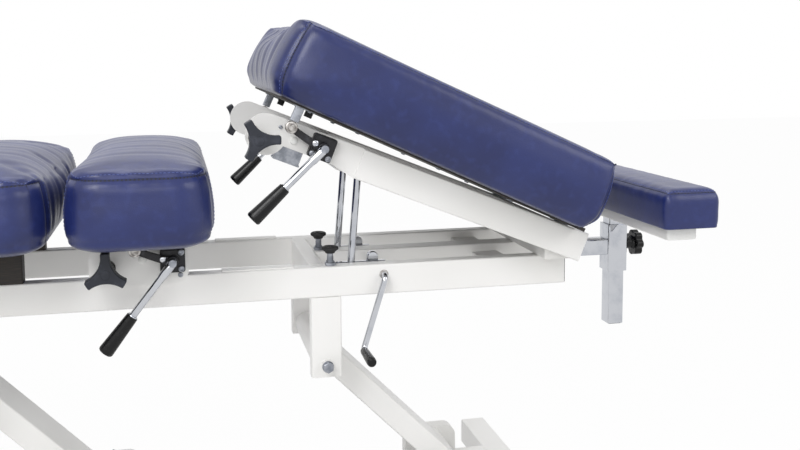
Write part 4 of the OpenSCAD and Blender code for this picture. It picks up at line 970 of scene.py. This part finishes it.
    def _mirrored(self, ij, near, ny):
        """A grid place as it is, or its like on the far half."""
        return ij if near else (ij[0], ny - 1 - ij[1])

    def _roll_up(self, t):
        """How high a round edge has come at share t of its width."""
        return math.sqrt(1 - (1 - min(max(t, 0.0), 1.0)) ** 2)

    def _seam_rows(self):
        """Vertex rows of each seam, from end to end, with the row of stitches beside it."""
        xs, ys, rise, border, top, ring, a, b = self.grid
        nx, ny, nz = len(xs), len(ys), len(rise)
        if self.boxed:
            loop = [top(i, j) for i, j in border]
            inner = [top(min(max(i, 2), nx - 3), min(max(j, 2), ny - 3)) for i, j in border]
            return [(loop + loop[:1], inner + inner[:1])]
        rows = []
        spots = {ij: p for p, ij in enumerate(border)}
        down = int(np.searchsorted(ys, self.turn - b))
        for near in (True, False):
            path = ([(0, j) for j in range(down, 0, -1)] + [(i, 0) for i in range(nx)]
                    + [(nx - 1, j) for j in range(1, down + 1)])
            beside = [(min(max(i, 2), nx - 3) if down > 2 else i, max(j, 2)) for i, j in path]
            ends = ((0, down), (nx - 1, down)), ((0, down + 2), (nx - 1, down + 2))
            rows.append(tuple(
                [ring(k, spots[self._mirrored(left, near, ny)]) for k in range(1, nz - 1)]
                + [top(*self._mirrored(ij, near, ny)) for ij in line]
                + [ring(k, spots[self._mirrored(right, near, ny)]) for k in range(nz - 2, 0, -1)]
                for line, (left, right) in zip((path, beside), ends)))
        return rows

    def swell(self):
        """Lets air pressure fill the sewn cover, as the foam does, and keeps the moves within bounds."""
        piece, mesh = self.piece, self.piece.data
        rest = self.points.copy()
        slim = rest - self._normals(rest) * self.slack * self.covered()[:, None]
        held_down = ~self.covered() | (self.own[:, 2] <= 0)
        slim[held_down] = rest[held_down]
        mesh.vertices.foreach_set("co", (slim * MM).ravel())
        mesh.update()
        held = piece.vertex_groups.new(name="held")
        seam_ids = sorted({v for seam, _ in self.seams for v in seam})
        held.add([int(v) for v in np.flatnonzero(held_down)], 1.0, "REPLACE")
        held.add([int(v) for v in seam_ids if not held_down[v]], 0.8, "REPLACE")
        cloth = piece.modifiers.new("stuffing", "CLOTH")
        settings = cloth.settings
        settings.quality = 5
        settings.mass = 0.4
        settings.tension_stiffness = settings.compression_stiffness = 18
        settings.shear_stiffness = 9
        settings.bending_stiffness = 3
        settings.use_pressure = True
        settings.uniform_pressure_force = 4.0
        settings.vertex_group_mass = "held"
        settings.pin_stiffness = 1.0
        settings.effector_weights.gravity = 0.0
        cloth.collision_settings.use_collision = False
        scene = bpy.context.scene
        for tick in range(1, CLOTH_TICKS + 1):
            scene.frame_set(tick)
        swollen = piece.evaluated_get(bpy.context.evaluated_depsgraph_get())
        moved = np.empty(len(mesh.vertices) * 3)
        swollen.data.vertices.foreach_get("co", moved)
        moved = moved.reshape(-1, 3) / MM
        piece.modifiers.remove(cloth)
        scene.frame_set(1)
        step = moved - slim
        far = np.linalg.norm(step, axis=1, keepdims=True)
        limit = CLOTH_REACH * self.slack
        step *= limit * np.tanh(far / limit) / np.maximum(far, 1e-6)
        self.points = slim + step
        self.points[held_down] = rest[held_down]
        piece.vertex_groups.clear()

    def _normals(self, points):
        mesh = self.piece.data
        mesh.vertices.foreach_set("co", (points * MM).ravel())
        mesh.update()
        normals = np.empty(len(mesh.vertices) * 3)
        mesh.vertices.foreach_get("normal", normals)
        return normals.reshape(-1, 3)

    def _beside_seams(self):
        """Each point's run along its nearest seam and its distance from it."""
        places, runs = [], []
        for seam, _ in self.seams:
            row = self.points[seam]
            gaps = np.linalg.norm(np.diff(row, axis=0), axis=1)
            start = np.concatenate([[0.0], np.cumsum(gaps)])
            for share in (0.0, 0.25, 0.5, 0.75):
                places.append(row[:-1] + (row[1:] - row[:-1]) * share)
                runs.append(start[:-1] + gaps * share)
        places, runs = np.concatenate(places), np.concatenate(runs)
        along, gap = np.empty(len(self.points)), np.empty(len(self.points))
        for first in range(0, len(self.points), 2000):
            part = slice(first, first + 2000)
            far = ((self.points[part, None, :] - places[None]) ** 2).sum(2)
            nearest = far.argmin(1)
            along[part] = runs[nearest]
            gap[part] = np.sqrt(far[np.arange(len(nearest)), nearest])
        inward = (self.panel == TOP) | ((self.panel == END_PANEL) & (not self.boxed))
        return along, np.where(inward, gap, -gap)

    def sew(self, seed):
        """Draws the seams in, sinks the sewn channels and gathers the cover round the ends."""
        a, b = self.grid[-2:]
        side = self.size[2]
        own, points = self.own, self.points
        normals = self._normals(points)
        wander = np.random.default_rng(seed)
        along, across = self._beside_seams()
        gap = np.abs(across)
        waves = np.zeros(len(points))
        for period, size in SEAM_WAVES:
            waves += size * np.sin(2 * math.pi * along / period + wander.uniform(0, 6.3))
        pinch = -2.6 * np.exp(-((gap / 4.2) ** 2)) + 1.5 * np.exp(-(((gap - 15.0) / 9.0) ** 2))
        move = pinch + 0.42 * waves * np.exp(-((gap / 15.0) ** 2)) * (gap > 1.0)
        if self.flutes:
            pitch = FLUTE_SHARE * (b - self.roll)
            on_top, on_end = self.panel == TOP, self.panel == END_PANEL
            near = np.round(own[:, 1] / pitch)
            off = own[:, 1] - near * pitch
            inside = (np.abs(near) <= 2) & (on_top | on_end)
            drop = np.clip(own[:, 2] / side, 0, 1)
            slant = off + np.where(on_end, self.folds * (1 - drop) * np.sign(own[:, 0]), 0.0)
            depth = np.where(on_end, 0.7 + 0.3 * drop, 0.45)
            wide = np.where(on_end, 11.0, 8.0)
            line = np.exp(-((slant / wide) ** 2)) - 0.5 * np.exp(-(((np.abs(slant) - 19.0) / 12.0) ** 2))
            fade = 1 - np.exp(-((gap / 22.0) ** 2))
            move -= np.where(inside, self.flutes * depth * line * fade, 0.0)
        end = np.exp(-(((a - np.abs(own[:, 0])) - 16.0) / 22.0) ** 2) * (self.panel == TOP)
        gather = np.zeros(len(points))
        for period, size in END_WAVES:
            gather += size * np.sin(2 * math.pi * own[:, 1] / period + wander.uniform(0, 6.3)
                                    + 1.3 * np.sin(own[:, 1] / 41.0 + wander.uniform(0, 6.3)))
        move += (0.25 if self.boxed else 0.8) * gather * end
        sag = (np.sin(own[:, 0] / 61.0 + own[:, 2] / 37.0 + wander.uniform(0, 6))
               * np.sin(own[:, 1] / 73.0 + own[:, 2] / 29.0 + 1.0))
        move += 0.7 * sag * (1 - np.exp(-((gap / 30.0) ** 2))) * self.covered()
        hem = np.clip(own[:, 2] / HEM_RISE, 0.0, 1.0)
        self.points = self._fit(points + normals * (move * hem * self.covered())[:, None])
        self.along, self.across = along, np.clip(across, -40, 40)

    def _fit(self, points):
        """Keeps the sewn pad to the length, width and height of its place."""
        length, width, side, crown = self.size
        low, high = points.min(0), points.max(0)
        points[:, :2] = ((points - (low + high) / 2) * np.array([length, width, 1.0]) / (high - low))[:, :2]
        points[:, 2] *= np.where(points[:, 2] > 0, (side + crown) / high[2], 1.0)
        return points

    def finish(self):
        mesh = self.piece.data
        mesh.vertices.foreach_set("co", (self.points * MM).ravel())
        for name, values in (("seam_along", self.along), ("seam_across", self.across)):
            attribute = mesh.attributes.new(name, "FLOAT", "POINT")
            attribute.data.foreach_set("value", values * MM)
        mesh.transform(self.place)
        mesh.polygons.foreach_set("use_smooth", [True] * len(mesh.polygons))
        mesh.materials.append(VINYL.material)
        mesh.update()
        smooth = self.piece.modifiers.new("smooth", "SUBSURF")
        smooth.levels = smooth.render_levels = 1
        settle(self.piece, self.body, VINYL.slot, (self.replaced,))

    def stitch_rows(self):
        """The rows of stitches on the finished cover, as open or closed lines in the table's frame."""
        whole = self.piece.evaluated_get(bpy.context.evaluated_depsgraph_get())
        mesh = whole.to_mesh()
        cover = BVHTree.FromPolygons([v.co.copy() for v in mesh.vertices], [tuple(p.vertices) for p in mesh.polygons])
        whole.to_mesh_clear()
        rows = []
        for _, row in self.seams:
            line = []
            for v in row:
                hit, normal, _, _ = cover.find_nearest(self.place @ Vector(self.points[v] * MM))
                line.append(hit + normal * 0.15 * MM)
            rows.append(line)
        return rows


def at(x, y, z):
    """A level pad's place: the middle of its underside in millimetres."""
    return Matrix.Translation(Vector((x, y, z)) * MM)


PELVIC_MIDDLE = (-276.6, 0, 12.5)  # of the pad's underside, on the slope of the board
LONG_PAD = dict(corner=62, roll=60, tuck=34, flutes=2.2, folds=6, skirt=12.3, turn=46)
HEAD_PAD = dict(size=(290, 125, 60, 15), corner=45, roll=32, body="head_piece", tuck=20, boxed=True, slack=2.5)
PAD_WIDTH, PAD_BASE, HEAD_PAD_Y = 530, 589.38, 97.5

CUSHIONS = [
    Cushion("pelvic_pad_cover", (582, PAD_WIDTH, 119, 7), 62, 45,
            Matrix.Translation(Vector((DROP_PIN[0], 0, DROP_PIN[1])) * MM)
            @ Matrix.Rotation(math.radians(DROP_SLOPE), 4, "Y") @ Matrix.Translation(Vector(PELVIC_MIDDLE) * MM),
            "pelvic_pad", "pelvic_cushion", 34, flutes=3.4, folds=12, skirt=3.5, foot_corner=24),
    Cushion("lumbar_pad_cover", (221, PAD_WIDTH, 97, 29), place=at(-35, 0, PAD_BASE), body="lumbar_pad",
            replaced="lumbar_cushion", **LONG_PAD),
    Cushion("thoracic_pad_cover", (400, PAD_WIDTH, 97, 29), place=at(-358.5, 0, PAD_BASE), body="upper_frame",
            replaced="thoracic_cushion", **LONG_PAD),
    Cushion("foot_pad_cover", (99, 542, 60, 7), 12, 24, at(822.5, 0, 574.88), "foot_rest", "foot_cushion", 3,
            boxed=True, slack=2),
    *(Cushion(f"head_pad_cover_{end}", place=at(-731.5, side * HEAD_PAD_Y, 614.88), replaced=f"head_cushion_{end}",
              **HEAD_PAD) for end, side in SIDES),
]


def stitch_tree():
    """Short barrels of thread in a row along a line."""
    tree = Growth("thread_stitches", {"Pitch": "Float", "Thread": "Float", "Reach": "Float", "Material": "Material"})
    line = tree.node("GeometryNodeMeshToCurve", {}, {"Mesh": tree.given("Geometry")})
    row = tree.node("GeometryNodeCurveToPoints", {"mode": "LENGTH"}, {"Curve": line, "Length": tree.given("Pitch")})
    barrel = tree.node("GeometryNodeMeshUVSphere", {}, {"Segments": 6, "Rings": 4, "Radius": 1.0})
    size = tree.node("ShaderNodeCombineXYZ", {},
                     {"X": tree.given("Thread"), "Y": tree.given("Thread"), "Z": tree.given("Reach")})
    tree.close(tree.node("GeometryNodeInstanceOnPoints", {},
                         {"Points": row, "Instance": barrel, "Rotation": row.also("Rotation"), "Scale": size}))
    return tree


STITCH_TREE = stitch_tree()


def stitches(name, body, rows):
    """A pad's top stitching, as short threads that dip into the cover at both ends."""
    mesh = bpy.data.meshes.new(name)
    points, edges = [], []
    for row in rows:
        first = len(points)
        points += [tuple(p) for p in row]
        edges += [(first + k, first + k + 1) for k in range(len(row) - 1)]
    mesh.from_pydata(points, edges, [])
    piece = STITCH_TREE.run(name, mesh, {"Pitch": STITCH_PITCH, "Thread": 0.45 * MM, "Reach": 2.1 * MM,
                                         "Material": THREAD.material})
    piece.data.polygons.foreach_set("use_smooth", [True] * len(piece.data.polygons))
    settle(piece, body, THREAD.slot)


for seed, cushion in enumerate(CUSHIONS):
    cushion.build()
    cushion.swell()
    cushion.sew(seed + 11)
    cushion.finish()
    stitches(cushion.name.replace("cover", "stitches"), cushion.body, cushion.stitch_rows())

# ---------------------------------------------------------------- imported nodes

NODE_FINISH = {finish.slot: finish for finish in (WHITE, CHROME, ZINC, SLATE, RUBBER, BOARD, VINYL)}
for node in nodes.values():
    for place in node.material_slots:
        place.material = NODE_FINISH[place.material.name.split(".")[0]].material

# ---------------------------------------------------------------- studio

FLOOR_TONE = (0.8, 0.8, 0.8, 1.0)
FLOOR_GLOW = 0.97
AIR_LIGHT = 0.45
FLOOR_HALF = 9.0


def seen_by(tree):
    """1 for the rays that look at the background, straight or in metal and glass."""
    path = tree.node("ShaderNodeLightPath", {}, {}, "Is Camera Ray")
    mirrored = path.maths("MAXIMUM", path.also("Is Glossy Ray"), path.also("Is Transmission Ray"))
    return path.maths("MAXIMUM", path, mirrored)


def studio():
    """A white floor that keeps the object's shadow, and soft light from all round."""
    floor = Finish("studio_floor", None).constants(Base_Color=FLOOR_TONE, Roughness=0.9)
    glow = floor.node("ShaderNodeEmission", {}, {"Color": (1.0, 1.0, 1.0, 1.0), "Strength": 1.0})
    surface = Wire(floor, floor.shader.outputs[0])
    mixed = floor.node("ShaderNodeMixShader", {}, {0: FLOOR_GLOW * seen_by(floor), 1: surface, 2: glow})
    floor.join(mixed, floor.tree.nodes["Material Output"].inputs["Surface"])
    mesh = bpy.data.meshes.new("studio_floor")
    corners = [(x * FLOOR_HALF, y * FLOOR_HALF, 0.0) for x, y in ((-1, -1), (1, -1), (1, 1), (-1, 1))]
    mesh.from_pydata(corners, [], [(0, 1, 2, 3)])
    mesh.materials.append(floor.material)
    placed("studio_floor", mesh)

    world = bpy.data.worlds.new("studio")
    world.use_nodes = True
    bpy.context.scene.world = world
    air = Tree(world.node_tree)
    background = air.tree.nodes["Background"]
    air.join((1.0, 1.0, 1.0, 1.0), background.inputs["Color"])
    air.join(AIR_LIGHT + (1 - AIR_LIGHT) * seen_by(air), background.inputs["Strength"])


def lamp(name, place, aim, size, power):
    """A soft box at a place in metres, turned towards its aim."""
    data = bpy.data.lights.new(name, "AREA")
    data.shape = "RECTANGLE"
    data.size, data.size_y = size
    data.energy = power
    light = placed(name, data)
    light.location = place
    light.rotation_euler = (Vector(aim) - Vector(place)).to_track_quat("-Z", "Y").to_euler()


def photo_camera():
    """The photo's camera, worked out from the rails and pads in it."""
    yaw, pitch, roll = 0.201, 0.0975, -0.0092
    forward = Vector((math.sin(yaw) * math.cos(pitch), math.cos(yaw) * math.cos(pitch), -math.sin(pitch)))
    level = Vector((math.cos(yaw), -math.sin(yaw), 0.0))
    up = level.cross(forward)
    right = math.cos(roll) * level + math.sin(roll) * up
    above = right.cross(forward)
    data = bpy.data.cameras.new("photo_camera")
    data.sensor_fit = "HORIZONTAL"
    data.sensor_width = 36.0
    data.lens = 41.2
    data.shift_x = 0.0475
    data.shift_y = -0.1005
    data.clip_start = 0.05
    data.clip_end = 60.0
    camera = placed("photo_camera", data)
    turn = Matrix((right, above, -forward)).transposed().to_4x4()
    camera.matrix_world = Matrix.Translation((0.02008, -1.57258, 0.85563)) @ turn
    bpy.context.scene.camera = camera


studio()
lamp("key_lamp", (-1.6, -2.4, 2.9), (0.0, 0.0, 0.55), (1.8, 1.8), 66)
lamp("fill_lamp", (2.6, -1.9, 2.0), (0.2, 0.0, 0.5), (1.6, 1.6), 20)
lamp("top_lamp", (0.1, 0.9, 3.2), (0.1, 0.0, 0.6), (2.6, 1.6), 30)
lamp("front_lamp", (-0.5, -3.1, 1.45), (0.0, 0.0, 0.45), (2.4, 0.8), 12)
photo_camera()
bpy.context.scene.view_settings.view_transform = "Standard"
